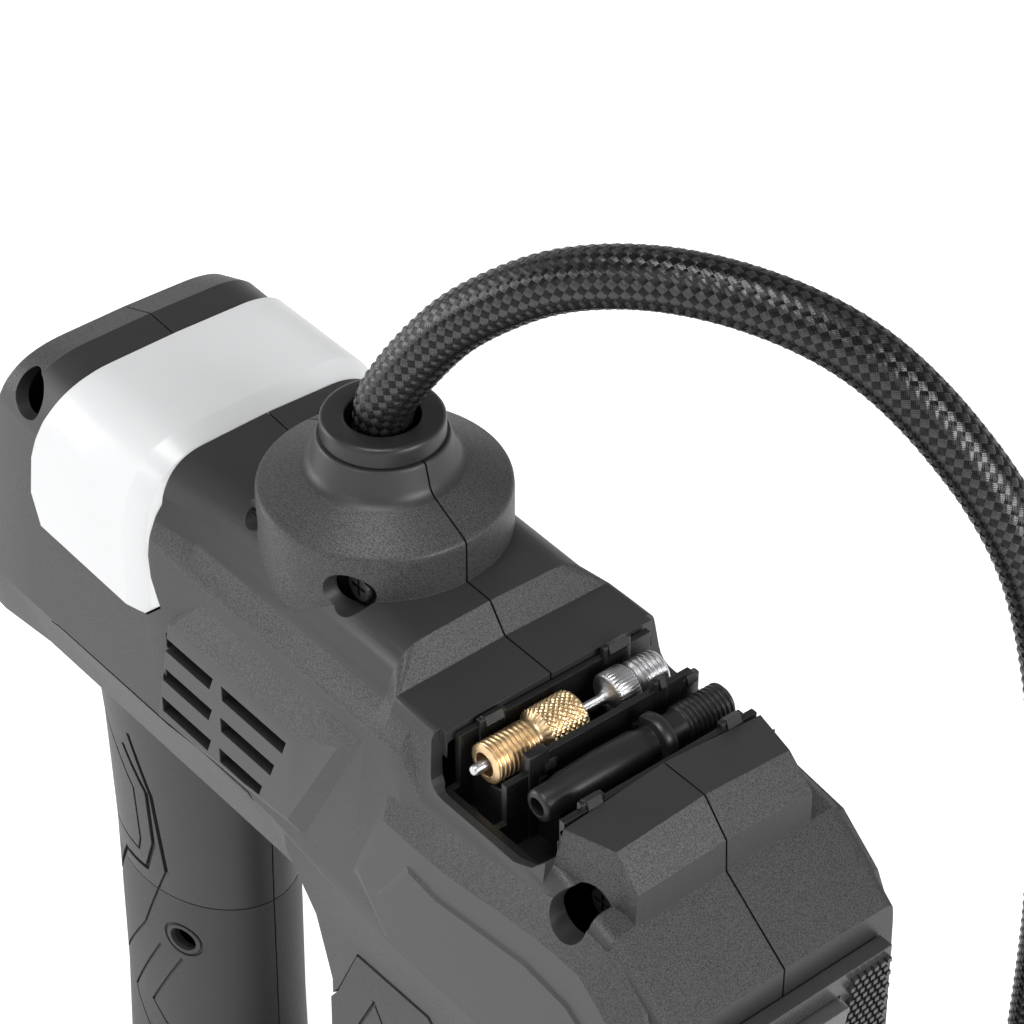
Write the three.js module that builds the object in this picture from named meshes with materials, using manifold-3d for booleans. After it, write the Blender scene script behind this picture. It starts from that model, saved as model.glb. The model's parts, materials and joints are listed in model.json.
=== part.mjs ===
// Handheld tyre inflator with a D-shaped loop, an accessory tray and a braided air hose.
// Millimetres. +X is the front (lamp end), -Y the near side, +Z up, z = 0 the resting face.
import * as THREE from 'three';
import { mergeVertices } from 'three/addons/utils/BufferGeometryUtils.js';
import Module from 'manifold-3d';

const wasm = await Module();
wasm.setup();

const WALL = 2.6;                 // housing wall
const GAP = 0.3;                  // clearance between pieces
const SEAM = 0.15;                // half of the gap between the two shells
const REAR_TILT = 18;             // display face, degrees from upright
const REAR_TOP = [-89, 248.4];    // x, z of the display face's top edge
const FRONT_FACE = 118.9;         // x of the housing's front face
const CENTRE_X = 3.5;             // middle of the whole length, moved to x = 0
const DRUM = [2.7, 0];            // centre of the hose drum
const CRANK_Z = 199;
const MOTOR_Z = 175;
const TOOTH_MODULE = 1.2;
const PINION_TEETH = 8;
const GEAR_TEETH = 32;
const THROW = 5;                  // crank pin radius, half the stroke
const TRAY = { x0: 53.4, x1: 84.6, half: 26.6, floor: 218.4, rim: 226.6, top: 239 };
const ADAPTER = { x: 60.6, z: 235.5, y0: -22.3, y1: -0.3 };
const TRAY_CLEAR = 5.7;            // radius kept free around the stowed pieces
const NOZZLE = { x: 74.6, z: 234.5, y0: -21.4, y1: 24.6 };
const HOSE_R = 6;
const HOSE_ARCH_TURN = 28;        // degrees from +X toward +Y
const CHUCK = { x: -8, y: 84, z: 10.6 };

// ---------------------------------------------------------------- materials

function paint(color, roughness, metalness = 0) {
  return () => new THREE.MeshStandardMaterial({ color, roughness, metalness });
}

const FINISH = {
  shell: paint(0x3b3c3e, 0.55),
  tray: paint(0x1b1b1c, 0.45),
  black: paint(0x202022, 0.5),
  rubber: paint(0x2c2d2f, 0.85),
  band: paint(0xe4e6e8, 0.3),
  glass: paint(0x10161a, 0.1),
  lens: paint(0x9a9c9f, 0.25),
  brass: paint(0xc79a3b, 0.3, 1),
  nickel: paint(0xb9bcc0, 0.25, 1),
  steel: paint(0x8d9094, 0.35, 1),
  cast: paint(0xa6a8aa, 0.5, 0.8),
  board: paint(0x1f5a3a, 0.6),
  nylon: paint(0xd9d6cb, 0.5),
  cell: paint(0x2f6fa8, 0.4),
  copper: paint(0xa23b2a, 0.5),
  hose: paint(0x161617, 0.4),
};

// ---------------------------------------------------------------- shapes

function clean(geometry) {
  const flat = geometry.index ? geometry : mergeVertices(geometry);
  flat.deleteAttribute('normal');
  flat.deleteAttribute('uv');
  return mergeVertices(flat, 1e-4);
}

function wrapped(positions, triangles) {
  const mesh = new wasm.Mesh({
    numProp: 3,
    vertProperties: new Float32Array(positions),
    triVerts: new Uint32Array(triangles),
  });
  mesh.merge();
  return new wasm.Manifold(mesh);
}

function reversed(triangles) {
  const order = [];
  for (let i = 0; i < triangles.length; i += 3) {
    order.push(triangles[i], triangles[i + 2], triangles[i + 1]);
  }
  return order;
}

// A closed body from a geometry, with its faces pointing outward.
function solid(geometry) {
  const g = clean(geometry);
  const body = wrapped(g.attributes.position.array, g.index.array);
  return body.volume() < 0 ? wrapped(g.attributes.position.array, reversed(g.index.array)) : body;
}

function toGeometry(body) {
  const mesh = body.getMesh();
  const g = new THREE.BufferGeometry();
  g.setAttribute('position', new THREE.BufferAttribute(mesh.vertProperties, 3));
  g.setIndex(new THREE.BufferAttribute(mesh.triVerts, 1));
  return g;
}

function box(x0, x1, y0, y1, z0, z1) {
  const g = new THREE.BoxGeometry(x1 - x0, y1 - y0, z1 - z0);
  g.translate((x0 + x1) / 2, (y0 + y1) / 2, (z0 + z1) / 2);
  return solid(g);
}

// A closed turned profile of [radius, height] points about +Z.
function turned(profile, sides = 24) {
  const points = profile.map(([r, z]) => new THREE.Vector2(r, z));
  const g = new THREE.LatheGeometry(points, sides);
  g.rotateX(Math.PI / 2);
  return solid(g);
}

function ring(rOut, rIn, z0, z1, sides = 24) {
  return turned([[rOut, z0], [rOut, z1], [rIn, z1], [rIn, z0], [rOut, z0]], sides);
}

function rod(r, z0, z1, sides = 16) {
  return turned([[0, z0], [r, z0], [r, z1], [0, z1]], sides);
}

// Turn a body made along +Z so that it lies along +X or +Y.
function alongX(body, y = 0, z = 0, x = 0) {
  return body.rotate([0, 90, 0]).translate([x, y, z]);
}

function alongY(body, x = 0, z = 0, y = 0) {
  return body.rotate([-90, 0, 0]).translate([x, y, z]);
}

// Joins rings of equal length into one closed body with flat ends.
function loft(rings) {
  const n = rings[0].length;
  const corners = rings.flat(2);
  const faces = [];
  for (let k = 0; k + 1 < rings.length; k += 1) {
    for (let i = 0; i < n; i += 1) {
      const a = k * n + i;
      const b = k * n + ((i + 1) % n);
      faces.push(a, b, b + n, a, b + n, a + n);
    }
  }
  const last = (rings.length - 1) * n;
  for (let i = 1; i + 1 < n; i += 1) {
    faces.push(0, i + 1, i);
    faces.push(last, last + i, last + i + 1);
  }
  const g = new THREE.BufferGeometry();
  g.setAttribute('position', new THREE.Float32BufferAttribute(corners, 3));
  g.setIndex(faces);
  return solid(g);
}

// A side outline of [x, z] points pushed from y0 to y1.
function sidePrism(outline, y0, y1) {
  const shape = new THREE.Shape(outline.map(([x, z]) => new THREE.Vector2(x, z)));
  const g = new THREE.ExtrudeGeometry(shape, { depth: y1 - y0, bevelEnabled: false });
  g.rotateX(Math.PI / 2);
  g.translate(0, y1, 0);
  return solid(g);
}

// A round bar that follows a list of [x, y, z] points.
function bar(points, r, sides, steps) {
  const path = new THREE.CatmullRomCurve3(points.map((p) => new THREE.Vector3(...p)));
  const shape = new THREE.Shape();
  for (let i = 0; i < sides; i += 1) {
    const a = (2 * Math.PI * i) / sides;
    const x = r * Math.cos(a);
    const y = r * Math.sin(a);
    if (i === 0) shape.moveTo(x, y);
    else shape.lineTo(x, y);
  }
  return solid(new THREE.ExtrudeGeometry(shape, { steps, extrudePath: path, bevelEnabled: false }));
}

function coil(length, radius, wire, turns) {
  const points = [];
  const count = turns * 8;
  for (let i = 0; i <= count; i += 1) {
    const a = (2 * Math.PI * i) / 8;
    points.push([radius * Math.cos(a), radius * Math.sin(a), (length * i) / count]);
  }
  return bar(points, wire, 6, count);
}

function union(...bodies) {
  return bodies.reduce((whole, next) => whole.add(next));
}

// ---------------------------------------------------------------- housing forms

// How far each corner of a section moves inward and down for 1 mm of inset.
const SECTION_PULL = [[0.7, 1], [1, 0.5], [1, 0.3], [1, -0.2], [0.8, -0.6], [0, -1]];

// One cross-section of the top body from [x, lean, corners]. The corners are [half width, z] of
// the deck's corner, the chamfer's two edges, the parting line, the lip and the underside.
function bodySection([x, lean, ...corners], inset) {
  const crown = corners[0][1] + 0.6;
  const half = corners.map(([w, z], i) => [w - SECTION_PULL[i][0] * inset, z - SECTION_PULL[i][1] * inset]);
  const near = half.map(([w, z]) => [x - lean * (crown - z), -w, z]);
  const far = half.map(([w, z]) => [x - lean * (crown - z), w, z]).reverse();
  return [[x, 0, crown - inset], ...near, ...far];
}

const BODY_ROWS = [
  [-126, 0.32, [21, 240], [27, 232], [28, 228], [27, 176], [22, 164], [15, 158]],
  [-88.6, 0.32, [24, 247.9], [29.2, 240.8], [30.4, 236.6], [28.6, 180], [24, 166], [15, 158]],
  [-77.8, 0.32, [25, 251.5], [30.2, 241.6], [31.2, 236], [31.3, 184.6], [26, 168], [15, 158]],
  [-68.4, 0.25, [25, 250.9], [30.2, 241.3], [31.2, 236], [31.3, 184.6], [26, 168], [15, 158]],
  [-34, 0, [25, 249.4], [29.9, 239.5], [31.1, 234], [31.3, 184.6], [26, 168], [15, 158]],
  [-24, 0, [23.6, 248.6], [26.8, 238.3], [30.1, 231.8], [30.6, 184.6], [26, 168], [15, 158]],
  [2, 0, [22.6, 247], [25.4, 237], [30, 231.5], [30.6, 184], [26, 168], [15, 158]],
  [35, 0, [22.6, 245.9], [25, 236.8], [30, 231.5], [30.6, 178], [26, 162], [15, 154]],
  [39.4, 0, [26.3, 240], [27.2, 238], [30, 231.5], [30.6, 178], [26, 160], [15, 152]],
  [45, 0, [26.4, 239.9], [27.3, 238], [30, 231.5], [30.6, 178], [26, 160], [15, 152]],
  [50, 0, [26.4, 239.8], [27.4, 238], [29.2, 223], [30.6, 178], [26, 160], [15, 150]],
  [85, 0, [26.4, 239.4], [27.4, 238], [29.2, 223], [30.6, 178], [26, 160], [15, 150]],
];

const FRONT_ROWS = [
  [60, 0, [27, 231], [28.4, 228], [29.2, 222], [30.6, 178], [26, 160], [15, 150]],
  [102.4, 0, [26.6, 225.8], [28.7, 225], [29.2, 222], [30.4, 178], [26, 160], [15, 150]],
  [FRONT_FACE, 0, [26, 213.2], [27.6, 212.4], [28, 208], [29, 178], [25, 160], [15, 150]],
];

const BLOCK_ROWS = [
  [84.9, 24, 238.3, 28.7, 222],
  [96, 21, 239, 24.8, 220],
  [102.2, 21.2, 233, 22.2, 218],
  [103, 21, 218, 22, 216],
];

function blockSection([x, topHalf, topZ, baseHalf, baseZ]) {
  return [[x, 0, topZ + 0.7], [x, -topHalf, topZ], [x, -baseHalf, baseZ], [x, baseHalf, baseZ], [x, topHalf, topZ]];
}

// One level of the front column: x range, half width and corner cut.
function columnSection([z, x0, x1, half, cut], inset) {
  const a = x0 + inset;
  const b = x1 - inset;
  const w = half - inset;
  const c = cut;
  return [[a + c, -w, z], [b - c, -w, z], [b, -w + c, z], [b, w - c, z],
    [b - c, w, z], [a + c, w, z], [a, w - c, z], [a, -w + c, z]];
}

const COLUMN_ROWS = [
  [12, 4, 104, 27, 7],
  [60, 8, 106, 27, 7],
  [120, 11, 110, 28.5, 6],
  [150, 14, 114, 29.5, 5],
  [166, 11, 116, 30, 4],
  [178, 2, 117, 30.3, 4],
  [206, -2, 118.4, 29.5, 3],
];

function handleSection([z, x, a, b], inset) {
  const points = [];
  for (let i = 0; i < 20; i += 1) {
    const t = (2 * Math.PI * i) / 20;
    points.push([x + (a - inset) * Math.cos(t), (b - inset) * Math.sin(t), z]);
  }
  return points;
}

const HANDLE_ROWS = [
  [10, -74, 27, 20.5],
  [30, -73.4, 26.6, 19.6],
  [60, -72.2, 25.8, 19],
  [110, -70.8, 25.8, 19],
  [145, -70.2, 26.6, 19.8],
  [176, -70, 30, 21],
];

// The base's top line, front to back: x, z.
const BASE_ROWS = [[-103, 14], [-97, 18], [-60, 22], [98, 24], [109, 16]];

function baseForm(inset) {
  const last = BASE_ROWS.length - 1;
  const rings = BASE_ROWS.map(([x, top], i) => {
    const end = (i === 0 ? inset : 0) - (i === last ? inset : 0);
    return [
      [x + end, -(26 - inset), top - inset], [x + end, -(28 - inset), 2.4 + inset],
      [x + end, 28 - inset, 2.4 + inset], [x + end, 26 - inset, top - inset],
    ];
  });
  return loft(rings);
}

function handleForm(inset) {
  return loft(HANDLE_ROWS.map((row) => handleSection(row, inset)));
}

function columnForm(inset) {
  return loft(COLUMN_ROWS.map((row) => columnSection(row, inset)));
}

function topForm(inset) {
  const rear = loft(BODY_ROWS.map((row) => bodySection(row, inset)));
  const front = loft(FRONT_ROWS.map((row) => bodySection(row, inset)));
  return rear.add(front);
}

function drumForm() {
  return turned([[0, 236], [25.3, 236], [25.3, 246], [25, 255.5], [24.2, 256.6], [14.6, 261.6],
    [14, 262.6], [13.2, 267.9], [0, 267.9]], 40).translate([DRUM[0], DRUM[1], 0]);
}

function drumHollow() {
  return turned([[0, 230], [22.4, 230], [22.4, 253], [12, 258.4], [10, 265.2], [0, 265.2]], 24)
    .translate([DRUM[0], DRUM[1], 0]);
}

// The half space behind the tilted display face.
function behindDisplay(offset) {
  const slab = box(-400, 0, -100, 100, -300, 300);
  return slab.rotate([0, REAR_TILT, 0]).translate([REAR_TOP[0] + offset, 0, REAR_TOP[1]]);
}

// Places a body drawn on the display face: x to the right, y up the face, z outward.
function onDisplay(body, along) {
  const t = (REAR_TILT * Math.PI) / 180;
  const up = [Math.sin(t), 0, Math.cos(t)];
  const out = [-Math.cos(t), 0, Math.sin(t)];
  const origin = [REAR_TOP[0] - up[0] * along, 0, REAR_TOP[1] - up[2] * along];
  return body.transform([0, -1, 0, 0, up[0], up[1], up[2], 0, out[0], out[1], out[2], 0, ...origin, 1]);
}

// Side outlines of the light band and the column's rubber pad.
const BAND_OUTLINE = [[-37, 262], [-37, 251], [-34, 242], [-36.6, 229], [-36.2, 223.7], [-33.4, 217.2],
  [-38.7, 212.2], [-76.4, 212.3], [-79.1, 219.7], [-77.3, 230], [-68.4, 251.4], [-66, 262]];
const PAD_OUTLINE = [[14, 138], [21, 148], [29, 165], [52, 166], [66, 152], [66, 60], [58, 48], [22, 48], [13, 60]];

// An outline with every point moved away from the outline's middle.
function grown(outline, reach) {
  const middle = [0, 1].map((i) => outline.reduce((sum, point) => sum + point[i], 0) / outline.length);
  return outline.map(([x, z]) => {
    const [dx, dz] = [x - middle[0], z - middle[1]];
    const share = 1 + reach / Math.hypot(dx, dz);
    return [middle[0] + dx * share, middle[1] + dz * share];
  });
}

const VENT_HEIGHT = 4;
const VENT_ROWS = [
  { z: 207.2, left: [-32, -14.1], right: [-11.3, 10.6] },
  { z: 198, left: [-33, -15.3], right: [-12.5, 6] },
  { z: 188.8, left: [-34.1, -16.5], right: [-13.7, 1.2] },
];

function ventSlots() {
  const cuts = [];
  for (const row of VENT_ROWS) {
    for (const [a, b] of [row.left, row.right]) {
      const slant = 1.6;
      const outline = [[a, row.z], [a, row.z + VENT_HEIGHT], [b, row.z + VENT_HEIGHT], [b - slant, row.z]];
      cuts.push(sidePrism(outline, -40, 40));
    }
  }
  return cuts.reduce((whole, next) => whole.add(next));
}

// Screws run along Y: [name, x, z, y of the head's seat, y of the screw's tip].
const SCREWS = [
  ['screw_drum_front', 17.3, 247.8, -15.6, 9],
  ['screw_drum_rear', -12.8, 248, -17, 9],
  ['screw_rear', -84.5, 240, -19, 10],
  ['screw_front', 93, 224, -19, 10],
  ['screw_handle', -59.5, 90.7, -6, 9],
];
const RECESS_R = 3.6;
const BOSS_R = 5;
const PILLAR_R = 2.6;              // the boss beyond the head's seat

// The near boss reaches 8 mm outside the head's seat, and the far one mirrors its length.
function bosses([, x, z, seat]) {
  const near = rod(BOSS_R, seat - 8, seat + 2).add(rod(PILLAR_R, seat + 1, -0.6));
  const far = rod(PILLAR_R, 0.6, 7.6 - seat);
  return alongY(near.add(far), x, z);
}

function screwHoles([, x, z, seat, tip]) {
  const recess = rod(RECESS_R, seat - 40, seat, 24);
  const shank = rod(1.6, seat - 0.4, tip + 1);
  return alongY(recess.add(shank), x, z);
}

function screwBody([, x, z, seat, tip]) {
  const turnedBody = rod(3.1, seat - 2.3, seat - 0.1, 20).add(rod(1.25, seat - 0.3, tip, 12));
  const slot = box(x - 0.4, x + 0.4, seat - 3, seat - 1.6, z - 2.2, z + 2.2);
  const cross = box(x - 2.2, x + 2.2, seat - 3, seat - 1.6, z - 0.4, z + 0.4);
  return alongY(turnedBody, x, z).subtract(slot).subtract(cross);
}

function outerForm() {
  const block = loft(BLOCK_ROWS.map(blockSection));
  const whole = union(topForm(0), columnForm(0), handleForm(0), baseForm(0), block, drumForm());
  return whole.subtract(behindDisplay(0));
}

function innerForm() {
  const whole = union(topForm(WALL), columnForm(WALL), handleForm(WALL), baseForm(WALL), drumHollow());
  return whole.subtract(behindDisplay(WALL)).intersect(box(-200, FRONT_FACE - WALL, -60, 60, 0, 300));
}

// Raised side panels: [x, z] outlines at the panel's foot and at its face.
const VENT_PANEL = {
  foot: [[-36, 185], [-30, 217], [-18.7, 226.8], [20, 226.4], [33.4, 226.4], [14.3, 186]],
  face: [[-36, 186.2], [-30, 216], [-26.5, 215.8], [14.9, 215.4], [31, 224.7], [11, 188.5]],
};
const FRONT_PANEL = {
  foot: [[41, 222.4], [51, 221.6], [67, 223], [79, 224.6], [89, 227], [103.2, 225.8], [113, 218.6], [118, 208],
    [118, 177], [36, 177], [25.5, 186.6]],
  face: [[41.8, 213.4], [50, 213.2], [60, 213.4], [83, 216.8], [92, 217.6], [99, 217.4], [107, 211], [112, 203],
    [112, 181.5], [42, 181.5], [33, 193.4]],
};
const PANEL_FOOT = 29;
const PANEL_FACE = 31.3;

function reliefs() {
  const sides = [];
  for (const side of [-1, 1]) {
    for (const { foot, face } of [VENT_PANEL, FRONT_PANEL]) {
      sides.push(loft([
        foot.map(([x, z]) => [x, side * PANEL_FOOT, z]),
        face.map(([x, z]) => [x, side * PANEL_FACE, z]),
      ]));
    }
  }
  return union(...sides);
}

function gripRing(outer, inner, z0, z1) {
  const slab = box(-130, 0, -60, 60, z0, z1);
  return handleForm(outer).subtract(handleForm(inner)).intersect(slab);
}

function padLayer(outer, inner, outline) {
  return columnForm(outer).subtract(columnForm(inner)).intersect(outline);
}

function housing() {
  const trayPocket = union(
    box(TRAY.x0 - 0.4, TRAY.x1 + 0.4, -TRAY.half - 0.4, TRAY.half + 0.4, TRAY.floor - 1, 260),
    box(TRAY.x0 - 0.4, TRAY.x1 + 0.4, -60, 60, TRAY.rim + 0.4, 260),
  );
  const displayHole = onDisplay(box(-20.4, 20.4, -29.4, 29.4, -10, 10), 54);
  const triggerSlot = box(-58, -30, -8.4, 8.4, 140.6, 157);
  const frontHole = box(112.4, 140, -25.4, 25.4, 166.6, 205.4);
  const socketHole = box(-110, -90, -5.4, 5.4, 4.8, 10.2);
  const collarHole = rod(8, 250, 280).translate([DRUM[0], DRUM[1], 0]);
  const holes = union(...SCREWS.map(screwHoles));
  const outer = outerForm().add(reliefs());
  let shell = outer.subtract(innerForm()).add(union(...SCREWS.map(bosses)).intersect(outer));
  shell = shell.subtract(sidePrism(grown(BAND_OUTLINE, 0.5), -60, 60));
  for (const cut of [trayPocket, displayHole, triggerSlot, frontHole, socketHole, collarHole, ventSlots(), holes]) {
    shell = shell.subtract(cut);
  }
  shell = shell.subtract(gripRing(-3, 1.5, 29.7, 104.3));
  shell = shell.subtract(padLayer(-3, 1.5, sidePrism(grown(PAD_OUTLINE, 0.5), -60, 60)));
  return shell;
}

function largest(body) {
  return body.decompose().reduce((best, next) => (next.volume() > best.volume() ? next : best));
}

// ---------------------------------------------------------------- pieces

const pieces = [];

function piece(name, body, finish) {
  const mesh = new THREE.Mesh(toGeometry(body), FINISH[finish]());
  mesh.name = name;
  pieces.push(mesh);
}

function addShells() {
  const shell = housing();
  piece('shell_near', largest(shell.intersect(box(-300, 300, -100, -SEAM, -10, 400))), 'shell');
  piece('shell_far', largest(shell.intersect(box(-300, 300, SEAM, 100, -10, 400))), 'shell');
}

function addBand() {
  const skin = topForm(-1).subtract(topForm(1.6));
  piece('light_band', largest(skin.intersect(sidePrism(BAND_OUTLINE, -60, 60))), 'band');
  piece('band_led_board', box(-62, -40, -15, 15, 243, 244.4), 'board');
}

function addDisplay() {
  const frame = box(-20, 20, -29, 29, -3.4, -0.6);
  const window = box(-15.4, 15.4, 0.6, 22.4, -10, 10);
  const keys = [[0, -9], [-10, -20], [10, -20]];
  let bezel = frame.subtract(window);
  for (const [x, y] of keys) {
    bezel = bezel.subtract(box(x - 5.4, x + 5.4, y - 3.9, y + 3.9, -10, 10));
  }
  piece('display_bezel', onDisplay(bezel, 54), 'black');
  piece('display_glass', onDisplay(box(-15, 15, 1, 22, -3.2, -1), 54), 'glass');
  piece('display_board', onDisplay(box(-18, 18, -27, 27, -8.4, -6.8), 54), 'board');
  const names = ['button_mode', 'button_minus', 'button_plus'];
  keys.forEach(([x, y], i) => {
    const cap = box(x - 5, x + 5, y - 3.5, y + 3.5, -3.6, 1);
    const flange = box(x - 6.2, x + 6.2, y - 4.4, y + 4.4, -5, -3.8);
    const stem = box(x - 2, x + 2, y - 2, y + 2, -5, -3);
    piece(names[i], onDisplay(union(cap, flange, stem), 54), 'rubber');
  });
}

function addTray() {
  const { x0, x1, half, floor, rim, top } = TRAY;
  const mid = 67.6;
  let tray = box(x0, x1, -half, half, floor, rim).add(box(x0, x1, -23.4, 23.4, floor, top));
  tray = tray.subtract(box(x0 + 1.4, mid - 0.7, -half + 1.4, half - 1.4, floor + 1.6, 260));
  tray = tray.subtract(box(mid + 0.7, x1 - 1.4, -half + 1.4, half - 1.4, floor + 1.6, 260));
  tray = tray.subtract(box(mid - 2, mid + 2, -40, -17.5, 236, 260));
  tray = tray.subtract(box(mid - 2, mid + 2, 22, 40, 230.4, 260));
  for (const [slot, y] of [[ADAPTER, -19.6], [ADAPTER, -2.6], [NOZZLE, -15], [NOZZLE, 8], [ADAPTER, 14.5]]) {
    const r = slot === NOZZLE ? 4.2 : TRAY_CLEAR;
    const ribTop = y > 14 ? 231 : slot.z - 0.4;
    const rib = box(slot.x - 6.4, slot.x + 6.4, y - 0.9, y + 0.9, floor + 1, ribTop)
      .intersect(box(x0 + 0.5, x1 - 0.5, -60, 60, 0, 300));
    tray = tray.add(rib.subtract(alongY(rod(r, -30, 30, 20), slot.x, slot.z)));
  }
  tray = tray.subtract(alongY(rod(TRAY_CLEAR, ADAPTER.y0 - 3, ADAPTER.y1 + 1, 24), ADAPTER.x, ADAPTER.z));
  tray = tray.subtract(alongY(rod(TRAY_CLEAR, 8, half + 5, 24), ADAPTER.x, ADAPTER.z));
  tray = tray.subtract(alongY(rod(TRAY_CLEAR, NOZZLE.y0 - 2, NOZZLE.y1 + 1, 24), NOZZLE.x, NOZZLE.z));
  piece('tray', largest(tray), 'tray');
}

function addAccessories() {
  const thread = turned([[1.6, 0], [3.5, 0], [3.95, 0.5], [3.95, 10.6], [3.4, 11.2], [3.4, 12.2],
    [4.7, 12.6], [5.3, 13.2], [5.3, 21], [4.6, 22], [1.6, 22], [1.6, 0]], 18);
  piece('adapter', alongY(thread, ADAPTER.x, ADAPTER.z, ADAPTER.y0), 'brass');
  const needle = turned([[0, 0], [0.7, 0], [1.1, 0.6], [1.1, 31], [2.4, 32.2], [4.6, 33], [4.6, 37.6], [3.1, 38.2],
    [3.1, 38.8], [4.2, 39.2], [4.2, 45], [3.6, 45.6], [0, 45.6]], 14);
  piece('needle', alongY(needle, ADAPTER.x, ADAPTER.z, -25.2), 'nickel');
  const nozzle = turned([[1.6, 0], [2.7, 0], [3.3, 0.8], [3.3, 4.5], [3.9, 6.5], [3.9, 24], [3.3, 25.5],
    [3.3, 27.6], [5.2, 28], [5.2, 30.4], [3.3, 30.8], [3.9, 35], [3.9, 45.4], [3.4, 46], [1.6, 46], [1.6, 0]], 14);
  piece('nozzle', alongY(nozzle, NOZZLE.x, NOZZLE.z, NOZZLE.y0), 'black');
}

// Hose centre line, worked out by hand: out of the collar, over in one arch, down past the
// front on the far side, then back along the floor beside the tool.
function hosePath() {
  const arch = [[0, 262.7], [0, 270], [0.6, 275], [3, 280], [9, 289.2], [16, 297.7], [25.3, 305.5], [34.1, 311.1],
    [43.4, 314.9], [53.5, 317.3], [62.9, 318.1], [72.1, 317.7], [81.4, 316.1], [89.7, 313.4], [97.4, 309.3],
    [104.9, 303.5], [111.8, 296.7], [118.1, 289.3], [124.4, 279.5], [129, 269], [134, 250], [138, 224], [140, 190],
    [140, 150], [139.6, 110], [139, 72]];
  const t = (HOSE_ARCH_TURN * Math.PI) / 180;
  const points = arch.map(([r, z]) => [DRUM[0] + r * Math.cos(t), r * Math.sin(t), z]);
  points.push([121.6, 67, 38.5], [110.4, 70.5, 21.4], [93.3, 75.5, 10.4], [73.4, 80.6, 6.6], [56, 83.4, 7.1],
    [46, 84, 8.8], [40, 84, 10.2], [34.3, 84, 10.6]);
  return points;
}

function addHose() {
  piece('hose', bar(hosePath(), HOSE_R, 10, 48), 'hose');
  piece('hose_collar', ring(12.3, 7.4, 268.2, 272.4, 40).translate([DRUM[0], DRUM[1], 0]), 'black');
  const fitting = turned([[1.6, 254.3], [6.6, 254.3], [6.6, 258], [4.4, 258.6], [4.4, 262.3], [1.6, 262.3],
    [1.6, 254.3]], 24);
  piece('hose_fitting', fitting.translate([DRUM[0], DRUM[1], 0]), 'brass');
}

function addChuck() {
  const { x, y, z } = CHUCK;
  piece('hose_ferrule', alongX(ring(8.2, 6.3, 29.2, 42), y, z, x), 'nickel');
  const barrel = union(
    alongX(rod(6, 14, 40, 20), y, z, x),
    alongX(rod(10.5, -14, 15, 24), y, z, x),
  );
  const mouth = alongX(rod(6.3, -20, 3, 24), y, z, x);
  const slot = box(x - 6, x + 12, y - 3.2, y + 3.2, z + 5.6, z + 14);
  const ears = union(
    box(x - 2, x + 8, y - 5.4, y - 3.4, z + 6, z + 16),
    box(x - 2, x + 8, y + 3.4, y + 5.4, z + 6, z + 16),
  );
  const pinHole = alongY(rod(1.5, -9, 9, 16), x + 3, z + 13, y);
  piece('chuck_body', union(barrel, ears).subtract(mouth).subtract(slot).subtract(pinHole), 'black');
  piece('chuck_pin', alongY(rod(1.2, -6, 6, 16), x + 3, z + 13, y), 'steel');
  piece('chuck_seal', alongX(ring(6, 4, -13, 0, 24), y, z, x), 'rubber');
  const arm = sidePrism([[x - 1, z + 9.4], [x + 7, z + 9.4], [x + 8, z + 16.2], [x + 34, z + 14.6], [x + 35, z + 17.2],
    [x + 6, z + 20.4], [x - 1, z + 16]], y - 3, y + 3);
  piece('chuck_lever', arm.subtract(alongY(rod(1.5, -9, 9, 16), x + 3, z + 13, y)), 'steel');
}

function addRubbers() {
  const grip = gripRing(0, 1.2, 30, 104).subtract(screwHoles(SCREWS.at(-1)));
  piece('grip_near', grip.intersect(box(-200, 0, -60, -SEAM, 0, 200)), 'rubber');
  piece('grip_far', grip.intersect(box(-200, 0, SEAM, 60, 0, 200)), 'rubber');
  const pad = padLayer(0, 1.2, sidePrism(PAD_OUTLINE, -60, 60));
  piece('pad_near', largest(pad.intersect(box(0, 100, -60, -SEAM, 0, 200))), 'rubber');
  piece('pad_far', largest(pad.intersect(box(0, 100, SEAM, 60, 0, 200))), 'rubber');
  piece('foot_pad', box(-98, 104, -25, 25, 0, 2.1), 'rubber');
}

function addFront() {
  const lens = [[-11, 201.8], [11, 201.8], [4.5, 170.4], [-4.5, 170.4]];
  const lensHole = [[-11.6, 202.2], [11.6, 202.2], [4.9, 170], [-4.9, 170]];
  const frame = box(113, 118.4, -25, 25, 167, 205).subtract(box(100, 130, -22.4, 22.4, 169.6, 202.6));
  piece('front_frame', frame, 'black');
  const mesh = box(FRONT_FACE + GAP, 124.6, -24.4, 24.4, 168.4, 207);
  const stem = box(114, FRONT_FACE + GAP, -22, 22, 170, 202.2);
  piece('front_mesh', mesh.add(stem).subtract(frontPrism(lensHole, 100, 140)), 'black');
  piece('lamp_lens', frontPrism(lens, 114, 125.4), 'lens');
  piece('lamp_board', box(109.8, 111.4, -14, 14, 176, 200), 'board');
}

// A front outline of [y, z] points pushed along X.
function frontPrism(outline, x0, x1) {
  return loft([x0, x1].map((x) => outline.map(([y, z]) => [x, y, z])));
}

function addTrigger() {
  const outline = [[-58.6, 141.2], [-48, 141.2], [-43, 144.2], [-41.6, 149], [-44, 156.4], [-58.6, 156.4]];
  piece('trigger', sidePrism(outline, -8, 8), 'black');
  const spring = alongX(coil(9.4, 2.6, 0.5, 4), 0, 149, -69);
  piece('trigger_spring', spring, 'steel');
  piece('trigger_switch', box(-86, -70.2, -7, 7, 141, 156), 'tray');
}

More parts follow.
